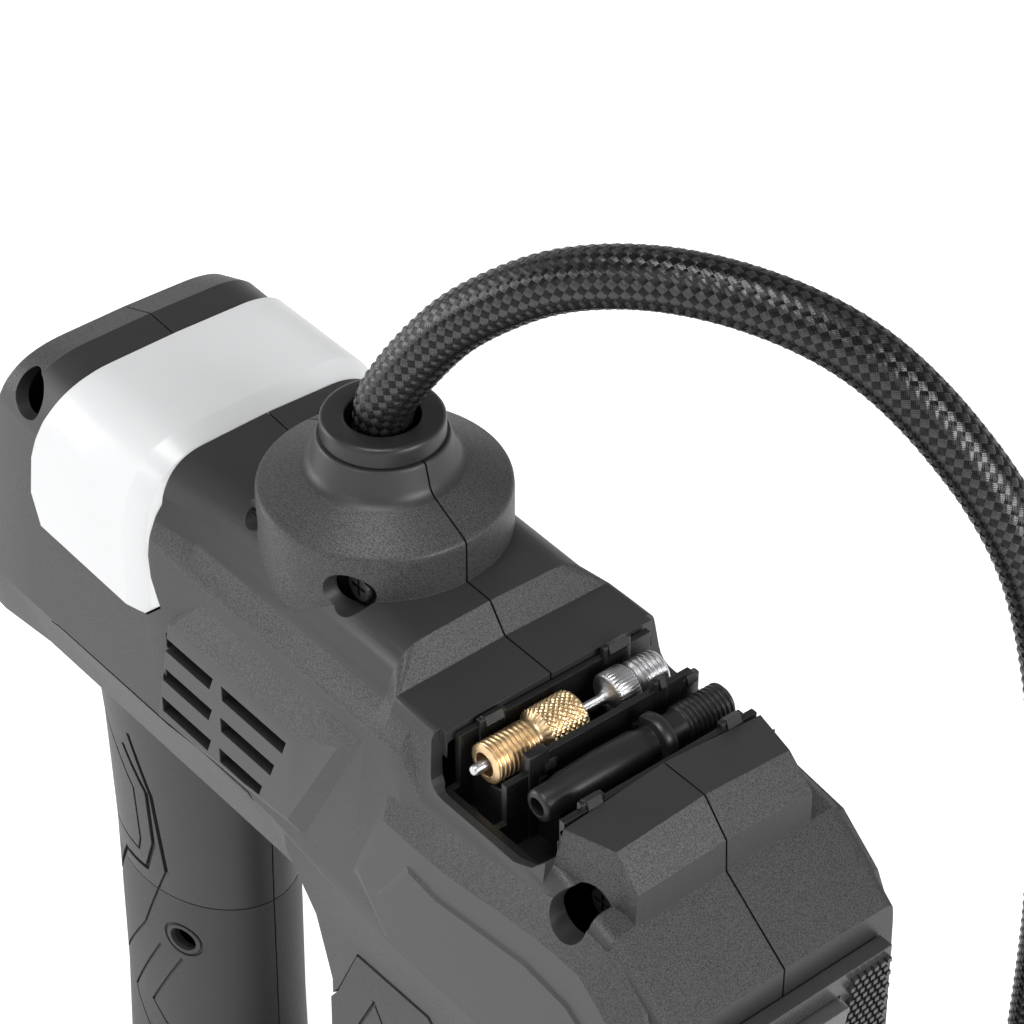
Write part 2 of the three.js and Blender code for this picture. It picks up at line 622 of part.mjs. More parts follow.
function toothed(teeth, x0, x1, phase) {
  const pitch = (TOOTH_MODULE * teeth) / 2;
  const tip = pitch + 0.85 * TOOTH_MODULE;
  const root = pitch - 1.15 * TOOTH_MODULE;
  const outline = [];
  for (let i = 0; i < teeth; i += 1) {
    const step = (2 * Math.PI) / teeth;
    const a = i * step + phase;
    outline.push([root, a - 0.3 * step], [tip, a - 0.11 * step], [tip, a + 0.11 * step], [root, a + 0.3 * step]);
  }
  const rings = [x0, x1].map((x) => outline.map(([r, a]) => [x, r * Math.sin(a), r * Math.cos(a)]));
  return fanLoft(rings);
}

// Like loft, with the ends closed about their centres so that toothed rings stay sound.
function fanLoft(rings) {
  const n = rings[0].length;
  const corners = rings.flat(2);
  const faces = [];
  const low = 2 * n;
  const high = low + 1;
  corners.push(rings[0][0][0], 0, 0, rings[1][0][0], 0, 0);
  for (let i = 0; i < n; i += 1) {
    const j = (i + 1) % n;
    faces.push(i, j, j + n, i, j + n, i + n, low, j, i, high, i + n, j + n);
  }
  const g = new THREE.BufferGeometry();
  g.setAttribute('position', new THREE.Float32BufferAttribute(corners, 3));
  g.setIndex(faces);
  return solid(g);
}

function addDrive() {
  piece('motor_can', alongX(ring(14, 2, -66, -22, 24), 0, MOTOR_Z), 'steel');
  const cap = ring(14, 2, -21.7, -18.4, 24).subtract(rod(1.3, -25, -15, 12).translate([0, 9, 0]));
  piece('motor_end_cap', alongX(cap, 0, MOTOR_Z), 'nylon');
  const shaft = alongX(rod(1.6, -78, -2, 16));
  const pinion = toothed(PINION_TEETH, -11.2, -4.8, Math.PI / PINION_TEETH);
  piece('motor_shaft', shaft.add(pinion).translate([0, 0, MOTOR_Z]), 'steel');
  let fan = ring(4.5, 1.9, -76, -69, 20);
  for (let i = 0; i < 6; i += 1) {
    fan = fan.add(box(3, 12, -0.5, 0.5, -75.4, -69.6).rotate([0, 0, 60 * i]));
  }
  piece('motor_fan', alongX(fan, 0, MOTOR_Z), 'nylon');
  const gear = toothed(GEAR_TEETH, -11, -6, 0);
  const journal = alongX(rod(4, -21, -6, 20));
  const weight = alongX(ring(16.4, 8.4, -6.2, -2.6, 24)).intersect(box(-10, 0, -20, 20, 2, 20));
  piece('crank_gear', union(gear, journal, weight).translate([0, 0, CRANK_Z]), 'steel');
  piece('crank_bearing', alongX(ring(7.2, 4.3, -17.4, -14.2, 24), 0, CRANK_Z), 'nickel');
}

function addPump() {
  const [cx] = DRUM;
  const plate = box(-17.6, -14, -14, 14, 163.5, 224.5);
  const flange = box(-17.6, 16.5, -14, 14, 221, 224.5);
  const frame = plate.add(flange)
    .subtract(alongX(rod(7.5, -20, -10, 24), 0, CRANK_Z))
    .subtract(alongX(rod(6, -20, -10, 24), 0, MOTOR_Z))
    .subtract(rod(10.3, 215, 230, 24).translate([cx, 0, 0]));
  piece('pump_frame', frame, 'cast');
  const pinZ = CRANK_Z - THROW;
  const rodBody = union(
    box(cx - 2.3, cx + 2.3, -3.2, 3.2, pinZ, 230),
    alongX(rod(6, cx - 2.3, cx + 2.3, 24), 0, pinZ),
    alongX(rod(2.4, -5.6, cx - 2, 20), 0, pinZ),
    rod(9.3, 229, 233, 24).translate([cx, 0, 0]),
  );
  piece('piston_rod', rodBody, 'cast');
  piece('piston_seal', ring(9.7, 6, 233.3, 235.3, 24).translate([cx, 0, 0]), 'rubber');
  let cylinder = ring(11.6, 10, 224.8, 246, 24);
  for (const z of [228, 233, 238]) {
    cylinder = cylinder.add(ring(14.2, 11, z, z + 1.4, 24));
  }
  piece('cylinder', cylinder.translate([cx, 0, 0]), 'cast');
  piece('valve_plate', ring(11.6, 2, 246.3, 247.8, 24).translate([cx, 0, 0]), 'steel');
  let head = ring(11.6, 1.6, 248.1, 250, 24);
  head = union(head, ring(8, 1.6, 249.6, 254, 24), ring(11.6, 7, 251.6, 252.8, 24));
  const port = alongY(rod(2.4, 7, 13.6, 12), 0, 250.6);
  piece('cylinder_head', head.add(port).translate([cx, 0, 0]), 'cast');
  const tube = bar([[cx, 14.2, 250.4], [cx, 16.4, 249.6], [0, 18.5, 243.6], [-8, 18, 238.6], [-20, 10, 236.6],
    [-34, -4, 237], [-42, -9, 236.6], [-45, -9.4, 232.9]], 1.4, 6, 18);
  piece('sensor_tube', tube, 'rubber');
  piece('pressure_sensor', box(-50, -40, -13.6, -5, 225, 232), 'black');
}

function addElectrics() {
  piece('main_board', box(-78, -24, -20, 20, 222.4, 224), 'board');
  [[1, 34], [2, 60]].forEach(([i, x]) => {
    piece(`cell_${i}`, rod(10.5, 62, 132, 24).translate([x, 0, 0]), 'cell');
  });
  const holder = box(20.5, 73.5, -13, 13, 53, 60).add(box(20.5, 73.5, -13, 13, 54, 72));
  const cups = union(...[34, 60].map((x) => rod(10.9, 61, 90, 24).translate([x, 0, 0])));
  piece('cell_holder', holder.subtract(cups), 'nylon');
  const lead = bar([[34, 0, 133], [30, 6, 142], [25, 13, 165], [20, 19, 190], [14, 22, 210], [2, 22.5, 224],
    [-14, 18, 229], [-26, 13, 229], [-32, 12, 225.8]], 1.6, 6, 24);
  piece('battery_lead', lead, 'copper');
  piece('charge_socket', box(-101, -92, -4.6, 4.6, 5.6, 9.2).subtract(box(-110, -94, -3.6, 3.6, 6.6, 8.2)), 'nickel');
  const flap = box(-105, -103.3, -7.4, 7.4, 3.6, 13).add(box(-104, -101.6, -4, 4, 5.8, 9.4));
  piece('socket_flap', flap, 'rubber');
}

addShells();
addBand();
addDisplay();
addTray();
addAccessories();
addHose();
addChuck();
addRubbers();
addFront();
addTrigger();
addDrive();
addPump();
addElectrics();
for (const screw of SCREWS) {
  piece(screw[0], screwBody(screw), 'steel');
}

const group = new THREE.Group();
group.name = 'tyre_inflator';
group.position.x = -CENTRE_X;
for (const mesh of pieces) {
  group.add(mesh);
}

export default group;
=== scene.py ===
"""Looks of a handheld tyre inflator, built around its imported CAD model.

Shapes are drawn in millimetres with +X toward the lamp, -Y toward the near side and +Z up, and
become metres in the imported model's frame in new_piece(). Pieces that need finer shapes than the
CAD solids replace them; the rest of the CAD nodes keep their shape and get a bevel and a material.
"""
import json
import math

import bmesh
import bpy
from mathutils import Matrix, Vector
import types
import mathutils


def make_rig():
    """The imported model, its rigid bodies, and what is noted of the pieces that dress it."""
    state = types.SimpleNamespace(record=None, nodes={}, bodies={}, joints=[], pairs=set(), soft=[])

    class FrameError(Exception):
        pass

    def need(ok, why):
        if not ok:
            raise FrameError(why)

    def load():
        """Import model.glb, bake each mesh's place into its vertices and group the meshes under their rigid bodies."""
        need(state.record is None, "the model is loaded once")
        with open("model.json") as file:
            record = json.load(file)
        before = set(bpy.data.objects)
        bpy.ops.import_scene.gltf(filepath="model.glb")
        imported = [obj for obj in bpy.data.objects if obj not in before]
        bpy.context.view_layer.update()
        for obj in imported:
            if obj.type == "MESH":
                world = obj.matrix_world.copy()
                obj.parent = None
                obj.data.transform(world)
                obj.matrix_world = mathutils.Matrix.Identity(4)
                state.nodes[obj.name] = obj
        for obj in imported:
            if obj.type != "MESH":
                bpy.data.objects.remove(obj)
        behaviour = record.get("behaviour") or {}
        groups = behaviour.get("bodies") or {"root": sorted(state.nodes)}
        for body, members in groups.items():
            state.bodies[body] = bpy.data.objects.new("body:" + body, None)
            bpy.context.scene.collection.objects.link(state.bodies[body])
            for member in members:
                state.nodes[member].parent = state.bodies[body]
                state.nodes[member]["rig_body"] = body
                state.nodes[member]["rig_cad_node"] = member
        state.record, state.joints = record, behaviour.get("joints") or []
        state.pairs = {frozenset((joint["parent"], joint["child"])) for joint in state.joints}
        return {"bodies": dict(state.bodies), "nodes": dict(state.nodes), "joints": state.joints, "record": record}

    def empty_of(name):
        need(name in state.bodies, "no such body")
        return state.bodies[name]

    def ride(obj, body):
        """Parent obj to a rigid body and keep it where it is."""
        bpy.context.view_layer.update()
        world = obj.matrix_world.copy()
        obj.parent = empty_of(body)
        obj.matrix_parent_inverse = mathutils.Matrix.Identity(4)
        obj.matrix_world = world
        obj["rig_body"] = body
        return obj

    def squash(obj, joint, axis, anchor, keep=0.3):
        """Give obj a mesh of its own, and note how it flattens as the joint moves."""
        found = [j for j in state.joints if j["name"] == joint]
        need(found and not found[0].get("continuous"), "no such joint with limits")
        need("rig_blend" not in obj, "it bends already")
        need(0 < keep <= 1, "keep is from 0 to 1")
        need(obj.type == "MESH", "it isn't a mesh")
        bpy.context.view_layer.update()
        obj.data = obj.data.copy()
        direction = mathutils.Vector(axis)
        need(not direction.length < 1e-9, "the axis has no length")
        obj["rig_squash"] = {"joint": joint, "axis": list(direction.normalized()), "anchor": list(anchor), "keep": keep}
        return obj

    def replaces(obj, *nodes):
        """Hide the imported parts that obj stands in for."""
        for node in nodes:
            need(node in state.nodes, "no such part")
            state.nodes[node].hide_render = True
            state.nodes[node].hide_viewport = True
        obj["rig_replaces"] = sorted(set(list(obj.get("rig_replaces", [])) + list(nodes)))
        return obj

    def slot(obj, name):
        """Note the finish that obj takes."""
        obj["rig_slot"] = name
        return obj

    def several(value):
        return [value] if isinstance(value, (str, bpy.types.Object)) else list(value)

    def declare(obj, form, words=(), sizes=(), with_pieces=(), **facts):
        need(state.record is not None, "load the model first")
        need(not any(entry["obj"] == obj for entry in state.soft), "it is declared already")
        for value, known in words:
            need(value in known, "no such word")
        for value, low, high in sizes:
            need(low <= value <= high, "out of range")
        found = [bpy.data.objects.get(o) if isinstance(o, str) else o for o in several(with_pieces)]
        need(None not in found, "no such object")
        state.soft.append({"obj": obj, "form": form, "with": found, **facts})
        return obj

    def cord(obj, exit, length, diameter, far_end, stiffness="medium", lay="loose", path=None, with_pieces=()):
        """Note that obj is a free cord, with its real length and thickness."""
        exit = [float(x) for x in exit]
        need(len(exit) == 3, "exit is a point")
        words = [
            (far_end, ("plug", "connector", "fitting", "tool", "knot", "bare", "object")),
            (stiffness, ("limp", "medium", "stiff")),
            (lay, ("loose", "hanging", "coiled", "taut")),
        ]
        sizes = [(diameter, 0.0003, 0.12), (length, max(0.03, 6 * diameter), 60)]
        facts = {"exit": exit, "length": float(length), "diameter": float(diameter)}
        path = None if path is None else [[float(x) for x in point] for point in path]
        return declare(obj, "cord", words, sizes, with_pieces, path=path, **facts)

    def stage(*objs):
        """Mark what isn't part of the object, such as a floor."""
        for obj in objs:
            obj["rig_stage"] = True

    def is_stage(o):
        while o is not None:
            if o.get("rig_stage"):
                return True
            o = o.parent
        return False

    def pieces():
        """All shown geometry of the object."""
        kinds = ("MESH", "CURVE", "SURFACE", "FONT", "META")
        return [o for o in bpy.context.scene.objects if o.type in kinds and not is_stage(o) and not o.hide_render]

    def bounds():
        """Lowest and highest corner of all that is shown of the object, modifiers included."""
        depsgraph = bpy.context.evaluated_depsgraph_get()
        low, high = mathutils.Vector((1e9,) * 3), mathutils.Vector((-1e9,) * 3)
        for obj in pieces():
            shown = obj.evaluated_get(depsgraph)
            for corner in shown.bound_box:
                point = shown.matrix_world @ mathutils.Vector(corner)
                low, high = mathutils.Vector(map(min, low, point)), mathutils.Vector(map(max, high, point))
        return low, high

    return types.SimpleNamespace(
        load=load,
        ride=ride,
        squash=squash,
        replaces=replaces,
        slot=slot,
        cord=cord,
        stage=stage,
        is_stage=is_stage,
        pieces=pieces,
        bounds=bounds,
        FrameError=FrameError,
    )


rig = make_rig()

MM = 0.001
CENTRE_X = 3.5                  # the drawing's x at the frame's x = 0
SIZE_FILE = "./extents.json"

CAMERA_AZIMUTH = 50.5           # degrees from -Y toward +X
CAMERA_ELEVATION = 38.4
CAMERA_DISTANCE = 0.62
CAMERA_TARGET = Vector((0.0254, 0.0104, 0.2589))
CAMERA_LENS = 114.6             # mm on a 36 mm sensor

HOUSING = "housing"
SEAM = 0.2                      # half of the gap between the two shells
WALL = 2.6
REAR_TILT = 18                  # display face, degrees from upright
REAR_TOP = (-89, 248.4)         # x, z of the display face's top edge
FRONT_FACE = 118.9
DRUM_X = 2.7
ARCH_TURN = 28                  # the hose's arch, degrees from +X toward +Y
HOSE_RADIUS = 6
FIBRES = 5                      # fibre lines drawn across one strand of the hose
WELD = 1e-6                     # points closer than this, in metres, become one
EDGE_ROUNDING = 0.25            # how far plastic edges left sharp by cuts look rounded
SPRING_SEAT = (-69.4, 0, 149)   # the fixed end of the trigger's spring
GRIP_SCREW = (-59.5, 90.7)      # x, z
GRIP_Z = (30, 104)              # height range of the grip's covers
DISPLAY_MIDDLE = 54             # from the display face's top edge, along the slope

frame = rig.load()
cad_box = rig.bounds()
NODES = frame["nodes"]


# ---------------------------------------------------------------- shapes

def to_frame(point):
    """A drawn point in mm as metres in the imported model's frame."""
    x, y, z = point
    return ((x - CENTRE_X) * MM, y * MM, z * MM)


def linked(name, data):
    """A new object in the scene for a mesh, camera or light."""
    obj = bpy.data.objects.new(name, data)
    bpy.context.scene.collection.objects.link(obj)
    return obj


def new_piece(name, points, faces, zones=None):
    """A mesh object from points in mm; zones gives each face's material index."""
    mesh = bpy.data.meshes.new(name)
    mesh.from_pydata([to_frame(p) for p in points], [], faces)
    if zones:
        for material in HOUSING_MATERIALS:
            mesh.materials.append(material)
        mesh.polygons.foreach_set("material_index", zones)
    obj = linked(name, mesh)
    tidy_mesh(obj)
    return obj


def tidy_mesh(obj):
    """Welds doubled points and turns every face outward."""
    shape = bmesh.new()
    shape.from_mesh(obj.data)
    bmesh.ops.remove_doubles(shape, verts=shape.verts, dist=WELD)
    bmesh.ops.recalc_face_normals(shape, faces=shape.faces)
    shape.to_mesh(obj.data)
    shape.free()


def bake(obj):
    """Applies the object's modifiers."""
    graph = bpy.context.evaluated_depsgraph_get()
    mesh = bpy.data.meshes.new_from_object(obj.evaluated_get(graph), depsgraph=graph)
    obj.modifiers.clear()
    obj.data = mesh


def loft(name, rings, zones=None):
    """Joins rings of equal length into a closed body; zones names each strip's material index."""
    count = len(rings[0])
    points = [p for ring in rings for p in ring]
    faces, index = [], []
    for k in range(len(rings) - 1):
        for i in range(count):
            a = k * count + i
            b = k * count + (i + 1) % count
            faces.append((a, b, b + count, a + count))
            index.append(zones(k, i) if zones else 0)
    faces.append(tuple(range(count)))
    faces.append(tuple(range((len(rings) - 1) * count, len(rings) * count)))
    index += [0, 0]
    return new_piece(name, points, faces, index)


def lathe(name, profile, sides=64, centre=(0, 0), zones=None):
    """A body turned about Z from [radius, height] points; the profile ends on the axis or closes."""
    closed = profile[0] == profile[-1]
    rows = profile[:-1] if closed else profile
    points, faces, index = [], [], []
    for radius, height in rows:
        for i in range(sides):
            turn = 2 * math.pi * i / sides
            x, y = centre[0] + radius * math.cos(turn), centre[1] + radius * math.sin(turn)
            points.append((x, y, height))
    last = len(rows) if closed else len(rows) - 1
    for k in range(last):
        for i in range(sides):
            here, above = k * sides, ((k + 1) % len(rows)) * sides
            j = (i + 1) % sides
            faces.append((here + i, here + j, above + j, above + i))
            index.append(zones(k) if zones else 0)
    return new_piece(name, points, faces, index)


def rod(radius, low, high, sides, centre=(0, 0)):
    """A round bar along Z."""
    return lathe("rod", [(0, low), (radius, low), (radius, high), (0, high)], sides, centre)


def laid(obj, at):
    """Turns a body drawn along Z about the origin so that it lies along Y, and moves it."""
    turn = Matrix.Rotation(math.radians(-90), 4, "X")
    shift = Matrix.Translation(Vector((CENTRE_X * MM, 0, 0)))
    obj.data.transform(Matrix.Translation(Vector(to_frame(at))) @ turn @ shift)
    return obj


def prism(name, outline, low, high, axis="Y"):
    """An outline pushed along Y from [x, z] points, along X from [y, z] or along Z from [x, y]."""
    order = {"X": (2, 0, 1), "Y": (0, 2, 1), "Z": (0, 1, 2)}[axis]
    rings = []
    for level in (low, high):
        rings.append([tuple((*point, level)[i] for i in order) for point in outline])
    return loft(name, rings)


def block(name, x, y, z):
    """A box from (low, high) pairs."""
    return prism(name, [(x[0], z[0]), (x[1], z[0]), (x[1], z[1]), (x[0], z[1])], y[0], y[1])


def bevel(obj, width, steps=3, angle=25):
    """Rounds edges that turn more than angle degrees."""
    rounding = obj.modifiers.new("round", "BEVEL")
    rounding.width = width * MM
    rounding.segments = steps
    rounding.limit_method = "ANGLE"
    rounding.angle_limit = math.radians(angle)
    rounding.miter_outer = "MITER_ARC"
    return obj


def combine(obj, others, how):
    """Joins, cuts or intersects obj with other bodies, which are used up."""
    for other in others:
        change = obj.modifiers.new(how, "BOOLEAN")
        change.operation = how
        change.solver = "MANIFOLD"
        change.object = other
    bake(obj)
    for other in others:
        bpy.data.objects.remove(other)
    return obj


def join(obj, *others):
    return combine(obj, others, "UNION")


def cut(obj, *others):
    return combine(obj, others, "DIFFERENCE")


def common(obj, other):
    return combine(obj, [other], "INTERSECT")


def copy_of(obj):
    return linked("copy", obj.data.copy())


def merged(name, objects):
    """Several separate bodies as one mesh object."""
    shape = bmesh.new()
    for obj in objects:
        shape.from_mesh(obj.data)
    mesh = bpy.data.meshes.new(name)
    shape.to_mesh(mesh)
    shape.free()
    for obj in objects:
        bpy.data.objects.remove(obj)
    return linked(name, mesh)


def shade(obj, angle=30):
    obj.data.shade_smooth()
    obj.data.set_sharp_from_angle(angle=math.radians(angle))


def show(obj, name, body, slot, materials, *replaced, angle=30):
    """Finishes a piece: its name, shading, materials, body, slot and the nodes that it stands for."""
    obj.name = name
    shade(obj, angle)
    if list(obj.data.materials) != materials:
        obj.data.materials.clear()
        for material in materials:
            obj.data.materials.append(material)
    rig.ride(obj, body)
    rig.slot(obj, slot)
    if replaced:
        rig.replaces(obj, *replaced)
    return obj


# ---------------------------------------------------------------- materials

def new_material(name):
    material = bpy.data.materials.new(name)
    material.use_nodes = True
    return material, material.node_tree.nodes, material.node_tree.links


def noise(nodes, links, scale, detail):
    place = nodes.new("ShaderNodeTexCoord")
    texture = nodes.new("ShaderNodeTexNoise")
    texture.inputs["Scale"].default_value = scale
    texture.inputs["Detail"].default_value = detail
    links.new(place.outputs["Object"], texture.inputs["Vector"])
    return texture.outputs["Fac"]


def ramp(nodes, links, value, stops):
    scale = nodes.new("ShaderNodeValToRGB")
    elements = scale.color_ramp.elements
    while len(elements) < len(stops):
        elements.new(0.5)
    for element, (place, colour) in zip(elements, stops):
        element.position = place
        element.color = (*colour, 1)
    links.new(value, scale.inputs["Fac"])
    return scale.outputs["Color"]


def grey(value):
    return (value, value, value * 1.01)


def rounded_normal(nodes, radius):
    """Softens the look of edges left sharp by cuts."""
    edge = nodes.new("ShaderNodeBevel")
    edge.samples = 4
    edge.inputs["Radius"].default_value = radius * MM
    return edge.outputs["Normal"]


def bumps(nodes, links, height, strength, distance, normal=None):
    bump = nodes.new("ShaderNodeBump")
    bump.inputs["Strength"].default_value = strength
    bump.inputs["Distance"].default_value = distance * MM
    links.new(height, bump.inputs["Height"])
    if normal:
        links.new(normal, bump.inputs["Normal"])
    return bump.outputs["Normal"]


def plastic(name, dark, light, roughness, grain=0.3, depth=0.02, bump=0.25, mottle=0.15):
    """Moulded plastic: fine spark grain of the given size in mm, slight mottling and gloss change."""
    material, nodes, links = new_material(name)
    shader = nodes["Principled BSDF"]
    speck = noise(nodes, links, 1 / (grain * MM), 1.5)
    cloud = noise(nodes, links, 60, 3.0)
    middle = grey((dark + light) / 2)
    specks = ramp(nodes, links, speck, [(0.36, grey(dark)), (0.5, middle), (0.64, grey(light))])
    clouds = ramp(nodes, links, cloud, [(0.3, grey(1 - mottle)), (0.7, grey(1.0))])
    mix = nodes.new("ShaderNodeMix")
    mix.data_type = "RGBA"
    mix.blend_type = "MULTIPLY"
    mix.inputs["Factor"].default_value = 1
    links.new(specks, mix.inputs["A"])
    links.new(clouds, mix.inputs["B"])
    links.new(mix.outputs["Result"], shader.inputs["Base Color"])
    rough = ramp(nodes, links, speck, [(0.3, grey(roughness + 0.07)), (0.7, grey(roughness - 0.07))])
    links.new(rough, shader.inputs["Roughness"])
    normal = bumps(nodes, links, speck, bump, depth, rounded_normal(nodes, EDGE_ROUNDING))
    links.new(normal, shader.inputs["Normal"])
    return material


def metal(name, colour, roughness, scratch=0.12, grain=0.15):
    """Bare metal with fine turning marks and small changes of gloss."""
    material, nodes, links = new_material(name)
    shader = nodes["Principled BSDF"]
    shader.inputs["Metallic"].default_value = 1
    fine = noise(nodes, links, 1 / (grain * MM), 3.0)
    wide = noise(nodes, links, 250, 2.0)
    dark = tuple(c * 0.72 for c in colour)
    links.new(ramp(nodes, links, wide, [(0.3, dark), (0.65, colour)]), shader.inputs["Base Color"])
    links.new(ramp(nodes, links, fine, [(0.3, grey(roughness + 0.12)), (0.7, grey(roughness - 0.05))]),
              shader.inputs["Roughness"])
    links.new(bumps(nodes, links, fine, scratch, 0.02, rounded_normal(nodes, 0.12)), shader.inputs["Normal"])
    return material


def translucent(name, colour, roughness):
    """Milky diffuser plastic."""
    material, nodes, links = new_material(name)
    shader = nodes["Principled BSDF"]
    shader.inputs["Subsurface Weight"].default_value = 0.4
    shader.inputs["Subsurface Radius"].default_value = (0.004, 0.004, 0.004)
    shader.inputs["Subsurface Scale"].default_value = 1
    shader.inputs["Coat Weight"].default_value = 0.15
    cloud = noise(nodes, links, 40, 2.0)
    dark = tuple(c * 0.97 for c in colour)
    links.new(ramp(nodes, links, cloud, [(0.3, dark), (0.7, colour)]), shader.inputs["Base Color"])
    links.new(ramp(nodes, links, cloud, [(0.3, grey(roughness + 0.04)), (0.7, grey(roughness))]),
              shader.inputs["Roughness"])
    fine = noise(nodes, links, 2500, 1.0)
    links.new(bumps(nodes, links, fine, 0.06, 0.01, rounded_normal(nodes, 0.3)), shader.inputs["Normal"])
    return material


def math_node(nodes, links, kind, *values):
    """A math node whose inputs are sockets or plain numbers."""
    node = nodes.new("ShaderNodeMath")
    node.operation = kind
    for socket, value in zip(node.inputs, values):
        if isinstance(value, (int, float)):
            socket.default_value = value
        else:
            links.new(value, socket)
    return node.outputs["Value"]


def braid(name):
    """Woven nylon: the fibres of each strand run along it, and the strands change over in cells."""
    material, nodes, links = new_material(name)
    shader = nodes["Principled BSDF"]
    place = nodes.new("ShaderNodeUVMap")
    place.uv_map = "weave"
    split = nodes.new("ShaderNodeSeparateXYZ")
    links.new(place.outputs["UV"], split.inputs["Vector"])
    first, second = split.outputs["X"], split.outputs["Y"]

    def work_out(kind, *values):
        return math_node(nodes, links, kind, *values)
    cells = work_out("ADD", work_out("FLOOR", first), work_out("FLOOR", second))
    over = work_out("ABSOLUTE", work_out("MODULO", cells, 2.0))
    mix = nodes.new("ShaderNodeMix")
    links.new(over, mix.inputs["Factor"])
    links.new(first, mix.inputs["A"])
    links.new(second, mix.inputs["B"])
    fibre = work_out("SINE", work_out("MULTIPLY", mix.outputs["Result"], 2 * math.pi * FIBRES))
    # Painted shade: colour and specular are darkened in the grooves between the fibres of each strand.
    painted_fibre_shade = work_out("MULTIPLY_ADD", fibre, 0.3, 0.7)
    # Painted shade: the second family of strands gets a darker base colour and less specular, standing in for the
    # highlight that only one fibre direction catches from the lamps.
    painted_strand_shade = ramp(nodes, links, over, [(0.0, grey(0.020)), (1.0, grey(0.006))])
    links.new(work_out("MULTIPLY", painted_strand_shade, painted_fibre_shade), shader.inputs["Base Color"])
    painted_strand_sheen = ramp(nodes, links, over, [(0.0, grey(1.0)), (1.0, grey(0.35))])
    links.new(work_out("MULTIPLY", painted_strand_sheen, painted_fibre_shade), shader.inputs["Specular IOR Level"])
    along = nodes.new("ShaderNodeTangent")
    along.direction_type = "UV_MAP"
    along.uv_map = "weave"
    links.new(along.outputs["Tangent"], shader.inputs["Tangent"])
    shader.inputs["Anisotropic"].default_value = 0.9
    links.new(work_out("MULTIPLY", over, 0.25), shader.inputs["Anisotropic Rotation"])
    grain = noise(nodes, links, 1500, 2.0)
    links.new(ramp(nodes, links, grain, [(0.3, grey(0.33)), (0.7, grey(0.24))]), shader.inputs["Roughness"])
    links.new(bumps(nodes, links, fibre, 0.3, 0.03), shader.inputs["Normal"])
    return material


SMOOTH = plastic("smooth_grey", 0.020, 0.030, 0.44, grain=0.16, bump=0.12, mottle=0.08)
GRAIN = plastic("spark_grey", 0.013, 0.060, 0.5, grain=0.27, depth=0.04, bump=0.5, mottle=0.1)
SIDE = plastic("side_grey", 0.024, 0.036, 0.5, grain=0.18, bump=0.12, mottle=0.1)
BLACK = plastic("satin_black", 0.010, 0.018, 0.38, grain=0.2, bump=0.1)
TRAY = plastic("tray_black", 0.006, 0.012, 0.34, grain=0.3, bump=0.15)
RUBBER = plastic("soft_rubber", 0.028, 0.040, 0.6, grain=0.2, bump=0.12, mottle=0.1)
FOOT = plastic("foot_rubber", 0.012, 0.020, 0.75, grain=0.3, bump=0.3)
NYLON = plastic("white_nylon", 0.55, 0.66, 0.45, grain=0.4, bump=0.05)
CELL = plastic("cell_sleeve", 0.06, 0.09, 0.3, grain=2.0, bump=0.05)
BOARD = plastic("board_mask", 0.03, 0.07, 0.35, grain=0.8, bump=0.1)
LEAD = plastic("lead_silicone", 0.08, 0.12, 0.4, grain=0.6, bump=0.1)
DIGIT = plastic("digit_segment", 0.5, 0.6, 0.4, grain=0.5, bump=0.02)
BRASS = metal("brass", (0.90, 0.66, 0.38), 0.33)
NICKEL = metal("nickel", (0.72, 0.72, 0.73), 0.3)
STEEL = metal("steel", (0.45, 0.46, 0.47), 0.32)
CAST = metal("cast_aluminium", (0.56, 0.57, 0.58), 0.42, scratch=0.4, grain=0.5)
MILKY = translucent("milky_white", (0.70, 0.705, 0.71), 0.34)
LENS = translucent("smoky_lens", (0.07, 0.07, 0.072), 0.22)
MESH = plastic("mesh_grey", 0.035, 0.05, 0.3, grain=0.3, bump=0.1)
GLASS = plastic("window", 0.004, 0.006, 0.08, grain=3.0, bump=0.0)
BRAID = braid("woven_hose")
HOUSING_MATERIALS = [SMOOTH, GRAIN, SIDE]
Z_SMOOTH, Z_GRAIN, Z_SIDE = 0, 1, 2


# ---------------------------------------------------------------- housing forms

def between(a, b, share):
    return tuple(p + (q - p) * share for p, q in zip(a, b))


def toward(a, b, reach, most):
    """The point reach mm from a on the way to b, at most that share of the way."""
    return between(a, b, min(reach / math.dist(a, b), most))


def soft_corner(before, corner, after, reach, steps=5, most=0.45):
    """A rounded corner that starts and ends reach mm from the sharp one."""
    start, end = toward(corner, before, reach, most), toward(corner, after, reach, most)
    points = []
    for i in range(steps):
        t = i / (steps - 1)
        points.append(between(between(start, corner, t), between(corner, end, t), t))
    return points


def grown(outline, reach):
    """An outline with every point moved away from the outline's middle."""
    middle = [sum(axis) / len(outline) for axis in zip(*outline)]
    return [between(middle, point, 1 + reach / math.dist(middle, point)) for point in outline]


